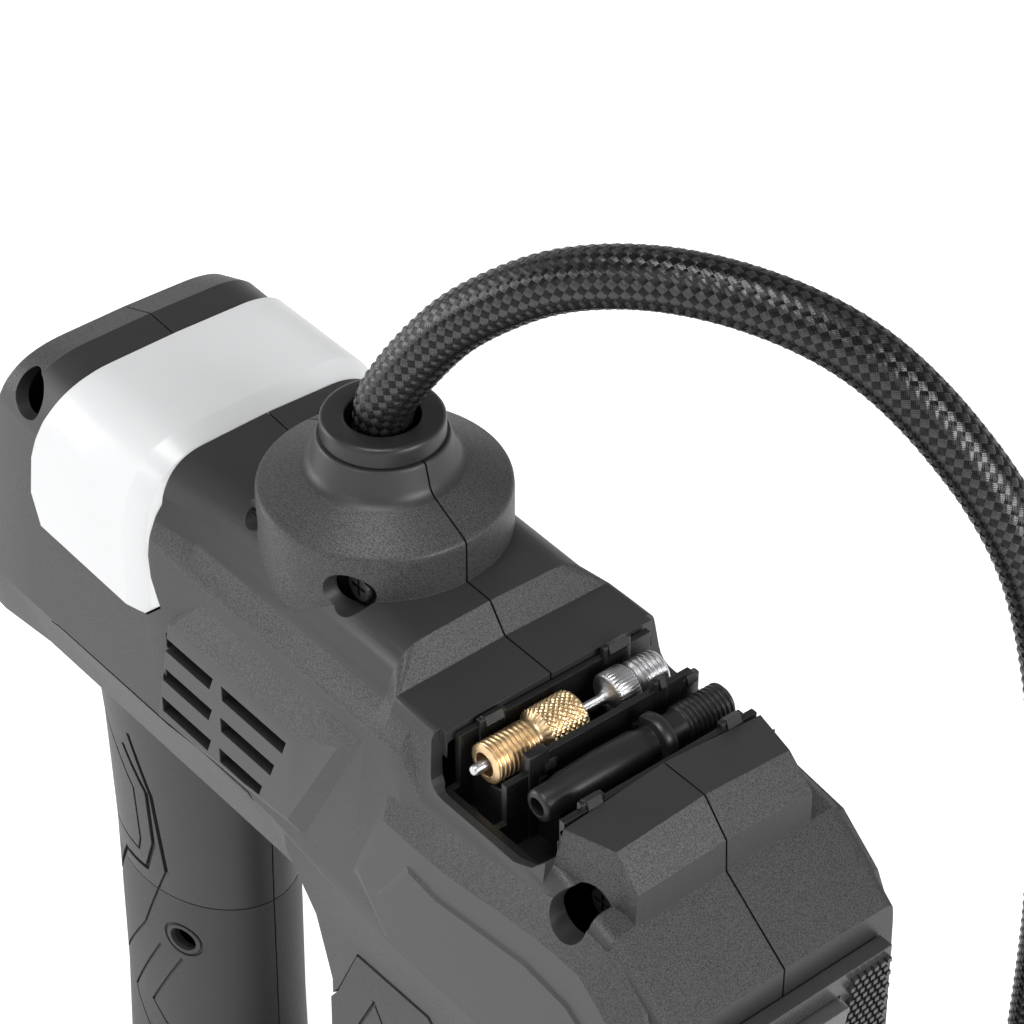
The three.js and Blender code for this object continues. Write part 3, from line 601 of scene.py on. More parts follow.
# Cross-sections of the top body: x, lean, softness of the deck's corner, then [half width, z] of the
# deck's corner, the chamfer's two edges, the parting line, the lip and the underside.
BODY_ROWS = [
    (-88.6, 0.32, 9, (24, 247.9), (29.2, 240.8), (30.4, 236.6), (29, 181), (27, 168), (17, 159)),
    (-77.8, 0.32, 9, (25, 251.5), (30.2, 241.6), (31.2, 236), (31.3, 184.6), (28, 169), (17, 159)),
    (-68.4, 0.25, 9, (25, 250.9), (30.2, 241.3), (31.2, 236), (31.3, 184.6), (26, 168), (15, 158)),
    (-34, 0, 9, (25, 249.4), (29.9, 239.5), (31.1, 234), (31.3, 184.6), (26, 168), (15, 158)),
    (-24, 0, 8, (23.6, 248.6), (26.8, 238.3), (30.1, 231.8), (30.6, 184.6), (26, 168), (15, 158)),
    (2, 0, 7, (22.6, 247), (25.4, 237), (30, 231.5), (30.6, 184), (26, 168), (15, 158)),
    (35, 0, 7, (22.6, 245.9), (25, 236.8), (30, 231.5), (30.6, 178), (26, 162), (15, 154)),
    (39.4, 0, 1, (26.3, 240), (27.2, 238), (30, 231.5), (30.6, 178), (26, 160), (15, 152)),
    (45, 0, 1, (26.4, 239.9), (27.3, 238), (30, 231.5), (30.6, 178), (26, 160), (15, 152)),
    (50, 0, 1, (26.4, 239.8), (27.4, 238), (29.2, 223), (30.6, 178), (26, 160), (15, 150)),
    (85, 0, 1, (26.4, 239.4), (27.4, 238), (29.2, 223), (30.6, 178), (26, 160), (15, 150)),
]
FRONT_ROWS = [
    (60, 0, 1, (27, 233), (28.4, 230), (29.2, 222), (30.6, 178), (26, 160), (15, 150)),
    (85, 0, 1, (26.2, 230.9), (28.9, 227.6), (29.2, 222), (30.6, 178), (26, 160), (15, 150)),
    (102.4, 0, 1, (26.6, 225.8), (28.7, 225), (29.2, 222), (30.4, 178), (26, 160), (15, 150)),
    (FRONT_FACE, 0, 1, (26, 213.2), (27.6, 212.4), (28, 208), (29, 178), (25, 160), (15, 150)),
]
SECTION_PULL = [(0.7, 1), (1, 0.5), (1, 0.3), (1, -0.2), (0.8, -0.6), (0, -1)]
RIM_INSET = 0.8                 # rounding of the display face's rim
TOP_ARC = 12                    # points along the rounding beside the deck
DECK, WALL_STRIP, CHAMFER, FLANK = range(4)


def body_ring(row, inset=0.0, shift=0.0):
    """One cross-section of the top body, pulled in by inset."""
    x, lean, soft, *corners = row
    crown_z = corners[0][1] + 0.6
    crown = (0, crown_z - inset)
    top, foot, edge, part, lip, under = [(w - u * inset, z - v * inset)
                                         for (w, z), (u, v) in zip(corners, SECTION_PULL)]
    outline = soft_corner(crown, top, foot, soft, TOP_ARC, 0.7)
    outline += soft_corner(top, foot, edge, 1.2, 3, 0.25)
    outline += soft_corner(foot, edge, part, 1.2, 3) + [part, lip, under]
    points = [crown] + [(-y, z) for y, z in outline] + [(y, z) for y, z in reversed(outline)]
    return [(x + shift - lean * (crown_z - z), y, z) for y, z in points]


def strip_zone(strip):
    """Which stretch of the section a strip lies on, counted from the crown on either side."""
    place = min(strip, 2 * (TOP_ARC + 9) - strip)
    for end, stretch in ((TOP_ARC, DECK), (TOP_ARC + 3, WALL_STRIP), (TOP_ARC + 6, CHAMFER)):
        if place < end:
            return stretch
    return FLANK


def rear_form(inset=0.0):
    rings = [body_ring(BODY_ROWS[0], RIM_INSET + inset, inset),
             body_ring(BODY_ROWS[0], inset, RIM_INSET + inset)]
    rings += [body_ring(row, inset) for row in BODY_ROWS[1:]]
    rim, ridge, band_end, chamfer_end = 1, 7, 4, 9

    def zones(row, strip):
        place = strip_zone(strip)
        if place == FLANK:
            return Z_SIDE
        if place == CHAMFER:
            return Z_GRAIN if band_end <= row <= chamfer_end else Z_SMOOTH
        return Z_GRAIN if row in (rim, ridge) else Z_SMOOTH
    return loft("rear", rings, zones)


def front_form(inset=0.0):
    def zones(row, strip):
        return Z_GRAIN if strip_zone(strip) == DECK else Z_SIDE
    return loft("front", [body_ring(row, inset) for row in FRONT_ROWS], zones)


# x, half width and z of the top, half width and z of the foot, rise of the crown
BLOCK_ROWS = [
    (84.9, 24, 238.3, 28.7, 222, 2.1),
    (96, 21, 239, 24.8, 220, 1.4),
    (102.2, 21.2, 233, 22.2, 218, 0.6),
    (103, 21, 218, 22, 216, 0.6),
]


def block_form():
    rings = []
    for x, top, top_z, base, base_z, painted_fibre_shade in BLOCK_ROWS:
        rings.append([(x, 0, top_z + painted_fibre_shade), (x, -top, top_z), (x, -base, base_z), (x, base, base_z),
                      (x, top, top_z)])

    def zones(row, strip):
        if strip in (0, 4):
            return (Z_SMOOTH, Z_GRAIN, Z_SIDE)[row]
        return Z_GRAIN
    return loft("block", rings, zones)


# z, x range, half width, corner cut
COLUMN_ROWS = [
    (12, 4, 104, 27, 7),
    (60, 8, 106, 27, 7),
    (120, 11, 110, 28.5, 6),
    (150, 14, 114, 29.5, 5),
    (166, 11, 116, 30, 4),
    (178, 2, 117, 30.3, 4),
    (206, -2, 118.4, 29.5, 3),
]


def column_form(inset=0.0):
    rings = []
    for z, low, high, half, corner in COLUMN_ROWS:
        a, b, w = low + inset, high - inset, half - inset
        rings.append([(a + corner, -w, z), (b - corner, -w, z), (b, -w + corner, z), (b, w - corner, z),
                      (b - corner, w, z), (a + corner, w, z), (a, w - corner, z), (a, -w + corner, z)])
    return loft("column", rings, lambda row, strip: Z_SIDE)


# z, centre x, half depth, half width
HANDLE_ROWS = [
    (10, -74, 27, 20.5),
    (30, -73.4, 26.6, 19.6),
    (60, -72.2, 25.8, 19),
    (110, -70.8, 25.8, 19),
    (145, -70.2, 26.6, 19.8),
    (176, -70, 30, 21),
]


def handle_form(inset=0.0, sides=72):
    rings = []
    for z, x, depth, width in HANDLE_ROWS:
        ring = []
        for i in range(sides):
            turn = 2 * math.pi * i / sides
            ring.append((x + (depth - inset) * math.cos(turn), (width - inset) * math.sin(turn), z))
        rings.append(ring)
    return loft("handle", rings, lambda row, strip: Z_SIDE)


BASE_ROWS = [(-103, 14), (-97, 18), (-60, 22), (98, 24), (109, 16)]


def base_form(inset=0.0):
    rings = []
    for i, (x, top) in enumerate(BASE_ROWS):
        end = (inset if i == 0 else 0) - (inset if i == len(BASE_ROWS) - 1 else 0)
        rings.append([(x + end, -26 + inset, top - inset), (x + end, -28 + inset, 2.4 + inset),
                      (x + end, 28 - inset, 2.4 + inset), (x + end, 26 - inset, top - inset)])
    return loft("base", rings, lambda row, strip: Z_SIDE)


def drum_form():
    """The hose drum: an upright wall, a shallow cone and a neck, blended by small fillets."""
    profile = [(0, 236), (25.3, 236), (25.3, 254.6)]
    profile += soft_corner((25.3, 254.6), (25.2, 256.4), (15.4, 261.4), 0.9)
    profile += soft_corner((24, 257.2), (14.6, 261.8), (13.3, 267.9), 1.8, 6)
    profile += [(13.2, 267.5), (12.9, 267.9), (0, 267.9)]
    return lathe("drum", profile, 96, (DRUM_X, 0), lambda k: Z_GRAIN if k < 8 else Z_SMOOTH)


def drum_hollow():
    profile = [(0, 230), (22.4, 230), (22.4, 253), (12, 258.4), (10, 265.2), (0, 265.2)]
    return lathe("hollow", profile, 48, (DRUM_X, 0))


# Side outlines of the light band and the column's rubber pad.
BAND_OUTLINE = [
    (-37, 262), (-37, 251), (-34, 242), (-36.6, 229), (-36.2, 223.7), (-33.4, 217.2), (-38.7, 212.2),
    (-76.4, 212.3), (-79.1, 219.7), (-77.3, 230), (-68.4, 251.4), (-66, 262),
]
PAD_OUTLINE = [(14, 138), (21, 148), (29, 165), (52, 166), (66, 152), (66, 60), (58, 48), (22, 48), (13, 60)]
BAND_PROUD = 1.0                # how far the light band stands out from the body
# z of the lower edge, x range of the left slot, x range of the right slot
VENT_ROWS = [
    (207.2, (-32, -14.1), (-11.3, 10.6)),
    (198, (-33, -15.3), (-12.5, 6)),
    (188.8, (-34.1, -16.5), (-13.7, 1.2)),
]
VENT_HEIGHT = 4
# Raised side panels: [x, z] outlines at the panel's foot and at its face.
VENT_PANEL = (
    [(-36, 185), (-29.5, 217), (-18.7, 226.8), (20, 226.4), (33.4, 226.4), (14.3, 186)],
    [(-36, 186.2), (-29.2, 215.9), (-28, 216), (14.9, 215.4), (28, 222.4), (9.6, 190)],
)
FRONT_PANEL = (
    [(41, 222.4), (51, 221.6), (67, 223), (79, 224.6), (89, 227), (103.2, 224.8), (113, 216.6), (118, 207),
     (118, 177), (36, 177), (25.5, 186.6)],
    [(41.8, 213.4), (50, 213.2), (60, 213.4), (83, 216.8), (92, 217.6), (99, 217.4), (107, 211), (112, 203),
     (112, 181.5), (42, 181.5), (33, 193.4)],
)
CHEEK_PANEL = (
    [(48.6, 207.2), (57.5, 205.8), (84, 209.6), (96.4, 208.2), (101.4, 205), (108, 190), (108, 183),
     (45, 183), (38.5, 192)],
    [(50, 206), (57.8, 204.8), (84, 208.4), (95.8, 207), (100.4, 204.2), (107, 190), (107, 184),
     (46, 184), (40, 192)],
)
PANEL_FOOT, PANEL_FACE, CHEEK_FACE = 30, 32, 32.5
# Side outline of the fine groove under the vents.
PARTING = [
    (-79, 183), (-75.4, 184.1), (-6.2, 184.7), (-1, 180.6), (-1.3, 181.2), (-6, 185.4), (-75.4, 184.8),
    (-79, 183.7),
]
# x, z, y of the seat and radius of the screw recesses
RECESSES = [
    (17.3, 247.8, -15.6, 4.3),
    (-12.4, 249.6, -17, 3.8),
    (-80.6, 242.8, -19, 5),
    (92.8, 225.4, -19, 4.7),
    (*GRIP_SCREW, -6, 3.6),
]
TRAY_X = (53.4, 84.6)
TRAY_HALF = 26.6
TRAY_FLOOR = 218.4
TRAY_RIM = 226.6


def side_panel(foot, face, low, high, grained):
    """The same raised panel on both sides of the tool; its grained edges are textured slopes."""
    def zones(row, strip):
        return Z_GRAIN if grained[0] <= strip <= grained[1] else Z_SIDE
    sides = []
    for side in (-1, 1):
        rings = [[(x, side * y, z) for x, z in outline]
                 for outline, y in ((foot, low - 6), (foot, low), (face, high))]
        sides.append(loft("panel", rings, zones))
    return sides


def vent_cutters():
    cutters = []
    for z, left, right in VENT_ROWS:
        for low, high in (left, right):
            outline = [(low, z), (low, z + VENT_HEIGHT), (high, z + VENT_HEIGHT), (high - 1.6, z)]
            cutters.append(prism("vent", outline, -40, 40))
    return cutters


def screw_cutters():
    return [laid(rod(radius, 0, 40, 48), (x, seat - 40, z)) for x, z, seat, radius in RECESSES]


def on_display(obj, along=DISPLAY_MIDDLE, out=0.0):
    """Moves a body drawn about the origin, with its face toward -X, onto the tilted display face."""
    tilt = math.radians(REAR_TILT)
    x = REAR_TOP[0] - math.sin(tilt) * along - math.cos(tilt) * out
    z = REAR_TOP[1] - math.cos(tilt) * along + math.sin(tilt) * out
    shift = Matrix.Translation(Vector((CENTRE_X * MM, 0, 0)))
    turn = Matrix.Rotation(tilt, 4, "Y")
    obj.data.transform(Matrix.Translation(Vector(to_frame((x, 0, z)))) @ turn @ shift)
    return obj


def rounded_outline(low, high, radius, steps=6):
    """A rectangle with rounded corners, as points anticlockwise."""
    (a, b), (c, d) = low, high
    corners = [(a, b), (c, b), (c, d), (a, d)]
    points = []
    for i, corner in enumerate(corners):
        points += soft_corner(corners[i - 1], corner, corners[(i + 1) % 4], radius, steps)
    return points


def pocket_cutters():
    """The tray's pocket: a rounded well, and the deck's opening that runs out over both sides."""
    low, high = TRAY_X[0] - 0.4, TRAY_X[1] + 0.4
    half = TRAY_HALF + 0.4
    well = prism("well", rounded_outline((low, -half), (high, half), 3), TRAY_FLOOR - 1, 262, "Z")
    rim = TRAY_RIM + 0.5
    mouth = [(low - 1.8, 262), (low - 1.6, 237.5)]
    mouth += soft_corner((low - 1.6, 240), (low - 0.6, rim), (75, rim), 4)
    mouth += [(77, rim), (81.5, 228.8), (high, 232.5), (high, 262)]
    return [well, prism("mouth", mouth, -60, -25.2), prism("mouth", mouth, 25.2, 60),
            prism("trough", [(low, 262), (low, 236), (high, 236), (high, 262)], -30, 30)]


def ring_layer(form, outer, inner, low, high):
    """The layer of a form between two insets and two heights."""
    layer = cut(form(outer), form(inner))
    return common(layer, block("slab", (-130, 130), (-60, 60), (low, high)))


def outer_body():
    return join(rear_form(), front_form(), column_form(), handle_form(), base_form(), block_form(),
                drum_form(),
                *side_panel(*VENT_PANEL, PANEL_FOOT, PANEL_FACE, (2, 3)),
                *side_panel(*FRONT_PANEL, PANEL_FOOT - 1, PANEL_FACE, (0, 6)),
                *side_panel(*CHEEK_PANEL, PANEL_FACE - 0.2, CHEEK_FACE, (0, 0)))


def inner_body():
    body = join(rear_form(WALL), front_form(WALL), column_form(WALL), handle_form(WALL, 32),
                base_form(WALL), drum_hollow())
    return common(body, block("front", (-200, FRONT_FACE - WALL), (-60, 60), (0, 300)))


def housing_body():
    body = cut(outer_body(), inner_body())
    openings = [
        prism("band", grown(BAND_OUTLINE, 0.5), -60, 60),
        *pocket_cutters(),
        on_display(block("hole", (-20, 20), (-20.4, 20.4), (-29.4, 29.4))),
        block("trigger", (-58, -30), (-8.4, 8.4), (140.6, 157)),
        block("front", (112.4, 140), (-25.4, 25.4), (166.6, 205.4)),
        block("socket", (-110, -90), (-5.4, 5.4), (4.8, 10.2)),
        rod(8, 250, 280, 64, (DRUM_X, 0)),
        prism("parting", PARTING, -40, -30.4), prism("parting", PARTING, 30.4, 40),
        *vent_cutters(),
        *screw_cutters(),
        ring_layer(handle_form, -3, 1.5, GRIP_Z[0] - 0.3, GRIP_Z[1] + 0.3),
        *grip_grooves(),
        common(ring_layer(column_form, -3, 1.5, 0, 300), prism("pad", grown(PAD_OUTLINE, 0.5), -60, 60)),
    ]
    return cut(body, *openings)


def largest_island(obj):
    """Keeps the body's biggest connected part."""
    shape = bmesh.new()
    shape.from_mesh(obj.data)
    left = set(shape.verts)
    best = set()
    while left:
        island, edge = set(), [left.pop()]
        while edge:
            vert = edge.pop()
            island.add(vert)
            for link in vert.link_edges:
                other = link.other_vert(vert)
                if other in left:
                    left.discard(other)
                    edge.append(other)
        best = max(best, island, key=len)
    bmesh.ops.delete(shape, geom=[v for v in shape.verts if v not in best], context="VERTS")
    shape.to_mesh(obj.data)
    shape.free()
    return obj


def near_and_far(obj):
    """Both halves of a body, split along the seam."""
    other = copy_of(obj)
    near = largest_island(common(obj, block("near", (-300, 300), (-100, -SEAM), (-10, 400))))
    far = largest_island(common(other, block("far", (-300, 300), (SEAM, 100), (-10, 400))))
    return near, far


def show_halves(obj, name, slot, materials, node, angle=30):
    """Splits a body along the seam and finishes both halves in place of the node's two halves."""
    for half, side in zip(near_and_far(obj), ("near", "far")):
        show(half, f"{name}_{side}", HOUSING, slot, materials, f"{node}_{side}", angle=angle)


def make_housing():
    show_halves(housing_body(), "housing", "housing_plastic", HOUSING_MATERIALS, "shell", angle=16)


def row_between(first, second, share):
    """A body row part of the way between two others."""
    numbers = between(first[:3], second[:3], share)
    return (*numbers, *[between(a, b, share) for a, b in zip(first[3:], second[3:])])


def make_band():
    """The milky band over the top, with a wide bevel along its front edge."""
    _, rim, rear, front = BODY_ROWS[:4]
    steps = [(rim, -BAND_PROUD), (rear, -BAND_PROUD)]
    for share, inset in ((0.77, -BAND_PROUD - 0.6), (0.79, -BAND_PROUD - 0.5), (0.93, 0.3)):
        steps.append((row_between(rear, front, share), inset))
    steps.append((front, 0.5))
    band = loft("band", [body_ring(row, inset) for row, inset in steps])
    hollow = loft("hollow", [body_ring(row, 1.6) for row in (rim, rear, front)])
    band = largest_island(common(cut(band, hollow), prism("side", BAND_OUTLINE, -60, 60)))
    show(band, "diffuser_band", HOUSING, "light_band", [MILKY], "light_band", angle=11)


# ---------------------------------------------------------------- grips and pads

# Grooves in the grip's side as [x, z] lines, and in the column's pad.
GRIP_GROOVES = [
    [(-86, 150), (-76.8, 141), (-70.6, 133), (-70.2, 117), (-71.4, 112.9), (-83.5, 113.3), (-92, 118)],
    [(-62.2, 111.4), (-72, 88), (-87.3, 65.5), (-92, 58)],
    [(-66.8, 84.4), (-80.3, 60.1), (-79.5, 57.4), (-70, 46), (-72, 34)],
    [(-60.3, 83.3), (-71.7, 62.2), (-66.1, 56.3), (-60, 46), (-62, 34)],
]
GRIP_WIDE_GROOVES = [
    [(-73, 145), (-65.7, 134.4), (-65.4, 118.2), (-68.9, 108.5), (-78.2, 107.7), (-87.2, 91.8), (-92, 84)],
    [(-70, 150), (-64.2, 134.6), (-62.2, 111.4)],
]
PAD_GROOVES = [
    [(20, 128), (33.9, 155.1), (48, 128), (36, 104), (48, 80), (34, 56), (20, 80), (30, 104), (20, 128)],
    [(26, 128), (33.9, 146), (41, 128), (33.9, 110), (26, 128)],
]


def ribbon(points, width):
    """A closed outline around a line of points, width mm wide."""
    left, right = [], []
    for i, (x, z) in enumerate(points):
        ax, az = points[max(i - 1, 0)]
        bx, bz = points[min(i + 1, len(points) - 1)]
        length = math.dist((ax, az), (bx, bz)) or 1
        nx, nz = -(bz - az) / length, (bx - ax) / length
        left.append((x + nx * width / 2, z + nz * width / 2))
        right.append((x - nx * width / 2, z - nz * width / 2))
    return left + right[::-1]


def groove_layer(form, lines, width, depth):
    """Groove cutters that follow a form's surface to an even depth, on both sides."""
    cutters = []
    for line in lines:
        for a, b in zip(line, line[1:]):
            stretch = [between(a, b, -0.02), between(a, b, 1.02)]
            for side in ((-60, -4), (4, 60)):
                cutters.append(prism("groove", ribbon(stretch, width), *side))
    skin = cut(form(-3), form(depth))
    return common(join(*cutters), skin)


def grip_grooves():
    return [groove_layer(handle_form, GRIP_GROOVES, 0.7, 0.6),
            groove_layer(handle_form, GRIP_WIDE_GROOVES, 1.3, 1)]


def make_grips():
    """Both grip covers, with a ring groove around the grip's screw."""
    x, z = GRIP_SCREW
    hole = laid(rod(3.3, 0, 60, 48), (x, -60, z))
    moat = lathe("moat", [(4.3, 0), (5.1, 0), (5.1, 60), (4.3, 60), (4.3, 0)], 48)
    moat = common(laid(moat, (x, -60, z)), cut(handle_form(-3), handle_form(0.5)))
    grip = cut(ring_layer(handle_form, 0, 1.2, *GRIP_Z), hole, moat, *grip_grooves())
    show_halves(grip, "grip_cover", "grip_rubber", [RUBBER], "grip")


def make_pads():
    pad = common(cut(column_form(-0.3), column_form(1.2)), prism("pad", PAD_OUTLINE, -60, 60))
    pad = cut(pad, groove_layer(column_form, PAD_GROOVES, 0.8, 0.4))
    show_halves(pad, "pad_cover", "grip_rubber", [RUBBER], "pad")


# ---------------------------------------------------------------- hose

# [distance from the drum's centre, height] in the arch's upright plane, then [x, y, z] on the floor.
HOSE_ARCH = [
    (0, 262.7), (0, 270), (0.6, 275), (3, 280), (9, 289.2), (16, 297.7), (25.3, 305.5), (34.1, 311.1),
    (43.4, 314.9), (53.5, 317.3), (62.9, 318.1), (72.1, 317.7), (81.4, 316.1), (89.7, 313.4), (97.4, 309.3),
    (104.9, 303.5), (111.8, 296.7), (118.1, 289.3), (124.4, 279.5), (129, 269), (134, 250), (138, 224),
    (140, 190), (140, 150), (139.6, 110), (139, 72),
]
HOSE_FLOOR = [(121.6, 67, 38.5), (110.4, 70.5, 21.4), (93.3, 75.5, 10.4), (73.4, 80.6, 6.6), (56, 83.4, 7.1),
              (46, 84, 8.8), (40, 84, 10.2), (34.3, 84, 10.6)]
HOSE_END = ("hose_ferrule", "chuck_body", "chuck_pin", "chuck_seal", "chuck_lever")
WEAVE_CARRIERS = 16             # strands of one family around the hose
WEAVE_STEPS = 4                 # mesh steps in one woven cell
WEAVE_DEPTH = 0.45              # from the top of a strand down to the gaps


def hose_points():
    turn = math.radians(ARCH_TURN)
    arch = [Vector((DRUM_X + r * math.cos(turn), r * math.sin(turn), z)) for r, z in HOSE_ARCH]
    return arch + [Vector(p) for p in HOSE_FLOOR]


def curve_point(points, times, t):
    """A point of the centripetal Catmull-Rom curve through four points."""
    a, b, c, d = points
    ta, tb, tc, td = times
    ab = a * ((tb - t) / (tb - ta)) + b * ((t - ta) / (tb - ta))
    bc = b * ((tc - t) / (tc - tb)) + c * ((t - tb) / (tc - tb))
    cd = c * ((td - t) / (td - tc)) + d * ((t - tc) / (td - tc))
    abc = ab * ((tc - t) / (tc - ta)) + bc * ((t - ta) / (tc - ta))
    bcd = bc * ((td - t) / (td - tb)) + cd * ((t - tb) / (td - tb))
    return abc * ((tc - t) / (tc - tb)) + bcd * ((t - tb) / (tc - tb))


def spline(points, step):
    """A smooth curve through the points, as evenly spaced points in mm."""
    ends = [2 * points[0] - points[1]] + points + [2 * points[-1] - points[-2]]
    fine = []
    pieces = 24
    for k in range(len(points) - 1):
        four = ends[k:k + 4]
        times = [0.0]
        for a, b in zip(four, four[1:]):
            times.append(times[-1] + math.sqrt((b - a).length))
        share = (times[2] - times[1]) / pieces
        fine += [curve_point(four, times, times[1] + share * i) for i in range(pieces)]
    fine.append(points[-1])
    lengths = [0.0]
    for a, b in zip(fine, fine[1:]):
        lengths.append(lengths[-1] + (b - a).length)
    count = round(lengths[-1] / step)
    even, k = [], 0
    for i in range(count + 1):
        want = lengths[-1] * i / count
        while k < len(fine) - 2 and lengths[k + 1] < want:
            k += 1
        even.append(fine[k].lerp(fine[k + 1], (want - lengths[k]) / (lengths[k + 1] - lengths[k])))
    return even


def tube_frames(path):
    """For each point of a path, two directions across it that turn as little as possible."""
    across = Vector((0, 1, 0))
    frames = []
    for i, point in enumerate(path):
        along = (path[min(i + 1, len(path) - 1)] - path[max(i - 1, 0)]).normalized()
        across = (across - along * across.dot(along)).normalized()
        frames.append((point, across, along.cross(across)))
    return frames


def weave_height(first, second):
    """Height of one braid cell, 0 to 1: the strand on top arches along its own way."""
    a, b = first % 1, second % 1
    if (math.floor(first) + math.floor(second)) % 2:
        a, b = b, a
    arch = math.sin(math.pi * b)
    crown = 1 - abs(2 * a - 1) ** 3
    return 0.2 * crown + 0.8 * arch * (0.5 + 0.5 * crown)


def woven_tube(path):
    """A round tube along the path with the braid's cells raised on it, and its weave as UV."""
    sides = WEAVE_CARRIERS * WEAVE_STEPS
    lift = 4096                     # keeps the second family of strands above zero
    points, faces, weave = [], [], []
    for k, (centre, right, up) in enumerate(tube_frames(path)):
        for i in range(sides):
            turn = 2 * math.pi * i / sides
            high = weave_height((i + k) / WEAVE_STEPS, (i - k) / WEAVE_STEPS + lift)
            radius = HOSE_RADIUS - WEAVE_DEPTH * (1 - high)
            points.append(centre + (right * math.cos(turn) + up * math.sin(turn)) * radius)
    rows = len(path)
    for k in range(rows - 1):
        for i in range(sides):
            j = (i + 1) % sides
            faces.append((k * sides + i, k * sides + j, (k + 1) * sides + j, (k + 1) * sides + i))
            for row, column in ((k, i), (k, i + 1), (k + 1, i + 1), (k + 1, i)):
                weave.append(((column + row) / WEAVE_STEPS, (column - row) / WEAVE_STEPS + lift))
    ends = (len(points), len(points) + 1)
    points += [path[0], path[-1]]
    for i in range(sides):
        j = (i + 1) % sides
        faces.append((ends[0], j, i))
        faces.append((ends[1], (rows - 1) * sides + i, (rows - 1) * sides + j))
        weave += [(0, 0)] * 6
    mesh = bpy.data.meshes.new("hose_weave")
    mesh.from_pydata([to_frame(p) for p in points], [], faces)
    layer = mesh.uv_layers.new(name="weave")
    layer.data.foreach_set("uv", [c for pair in weave for c in pair])
    return linked("hose_weave", mesh)


def make_hose():
    pitch = 2 * math.pi * HOSE_RADIUS / WEAVE_CARRIERS
    path = spline(hose_points(), pitch / WEAVE_STEPS)
    obj = woven_tube(path)
    show(obj, "woven_hose", HOUSING, "hose_braid", [BRAID], "hose", angle=180)
    line = [to_frame(p) for p in path[::4] + [path[-1]]]
    length = sum(math.dist(a, b) for a, b in zip(line, line[1:]))
    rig.cord(obj, exit=line[0], length=round(length, 2), diameter=2 * HOSE_RADIUS * MM, far_end="fitting",
            stiffness="stiff", lay="loose", path=line,
            with_pieces=[NODES[name] for name in HOSE_END])


def make_collar():
    profile = [(7.4, 268.2), (12.3, 268.2)] + soft_corner((12.3, 268.2), (12.3, 272.4), (7.4, 272.4), 1.2)
    profile += soft_corner((12.3, 272.4), (7.4, 272.4), (7.4, 268.2), 0.8) + [(7.4, 268.2)]
    collar = lathe("collar", profile, 96, (DRUM_X, 0))
    show(collar, "hose_ring", HOUSING, "black_plastic", [BLACK], "hose_collar")


# ---------------------------------------------------------------- the tray's accessories

# x, z of their axes, and y where they start
ADAPTER_AT = (60.6, 235.5)
NOZZLE_AT = (74.6, 234.5)
ADAPTER_START, NEEDLE_START, NOZZLE_START = -22.3, -25.2, -21.4
THREAD_PITCH = 1.07


def turned_along_y(name, at, start, stations, sides=72, bore=None):
    """A body along Y from [distance, rule] stations, where a rule is a radius or radius(turn, along)."""
    rings = []
    for along, rule in stations:
        ring = []
        for i in range(sides):
            turn = 2 * math.pi * i / sides
            radius = rule(turn, along) if callable(rule) else rule
            ring.append((at[0] + radius * math.cos(turn), start + along, at[1] + radius * math.sin(turn)))
        rings.append(ring)
    body = loft(name, rings)
    if bore:
        body = cut(body, laid(rod(*bore, 32), (at[0], start, at[1])))
    return body


def threaded(low, high, crest, depth=0.45):
    """Stations of a screw thread drawn as close rings."""
    count = round((high - low) / THREAD_PITCH)
    pitch = (high - low) / count
    stations = []
    for k in range(count):
        for share, drop in ((0.02, 1), (0.3, 0.1), (0.5, 0), (0.7, 0.1), (0.98, 1)):
            stations.append((low + (k + share) * pitch, crest - depth * drop))
    return stations


def diamond_knurl(low, high, radius, count=26, depth=0.38, rows=44):
    """Stations of a diamond knurl: two crossing families of grooves."""
    def rule(turn, along):
        slant = (along - low) * count / (2 * math.pi * radius)
        first = abs(((turn * count / (2 * math.pi) + slant) % 1) * 2 - 1)
        second = abs(((turn * count / (2 * math.pi) - slant) % 1) * 2 - 1)
        return radius - depth * (1 - min(1, 1.6 * min(first, second)))
    return [(low + (high - low) * k / rows, rule) for k in range(rows + 1)]


def straight_knurl(low, high, radius, count=40, depth=0.3):
    def rule(turn, along):
        return radius - depth * abs(((turn * count / (2 * math.pi)) % 1) * 2 - 1)
    return [(low, radius - 0.4), (low + 0.3, rule), (high - 0.3, rule), (high, radius - 0.4)]


def make_adapter():
    stations = [(0, 3.4), (0.35, 4.1)] + threaded(0.5, 10.8, 4.2) + [(11, 3.7), (11.6, 3.9), (12.4, 4.8)]
    stations += diamond_knurl(12.8, 21.4, 5.3) + [(21.7, 4.8), (22, 4)]
    adapter = turned_along_y("adapter", ADAPTER_AT, ADAPTER_START, stations, 156, (2.5, -1, 30))
    show(adapter, "valve_adapter", "adapter", "brass", [BRASS], "adapter", angle=40)


def make_needle():
    stations = [(0, 0.75), (0.25, 1), (0.8, 1.1), (31, 1.1), (32, 1.8), (32.6, 3.8)]
    stations += straight_knurl(32.8, 37.8, 4.6)
    stations += [(38, 3.5), (38.8, 3.5)] + threaded(39, 45, 4.2) + [(45.4, 3.6), (45.6, 3)]
    needle = turned_along_y("needle", ADAPTER_AT, NEEDLE_START, stations, 120, (1.5, 41, 60))
    show(needle, "ball_needle", "needle", "nickel_plate", [NICKEL], "needle", angle=40)


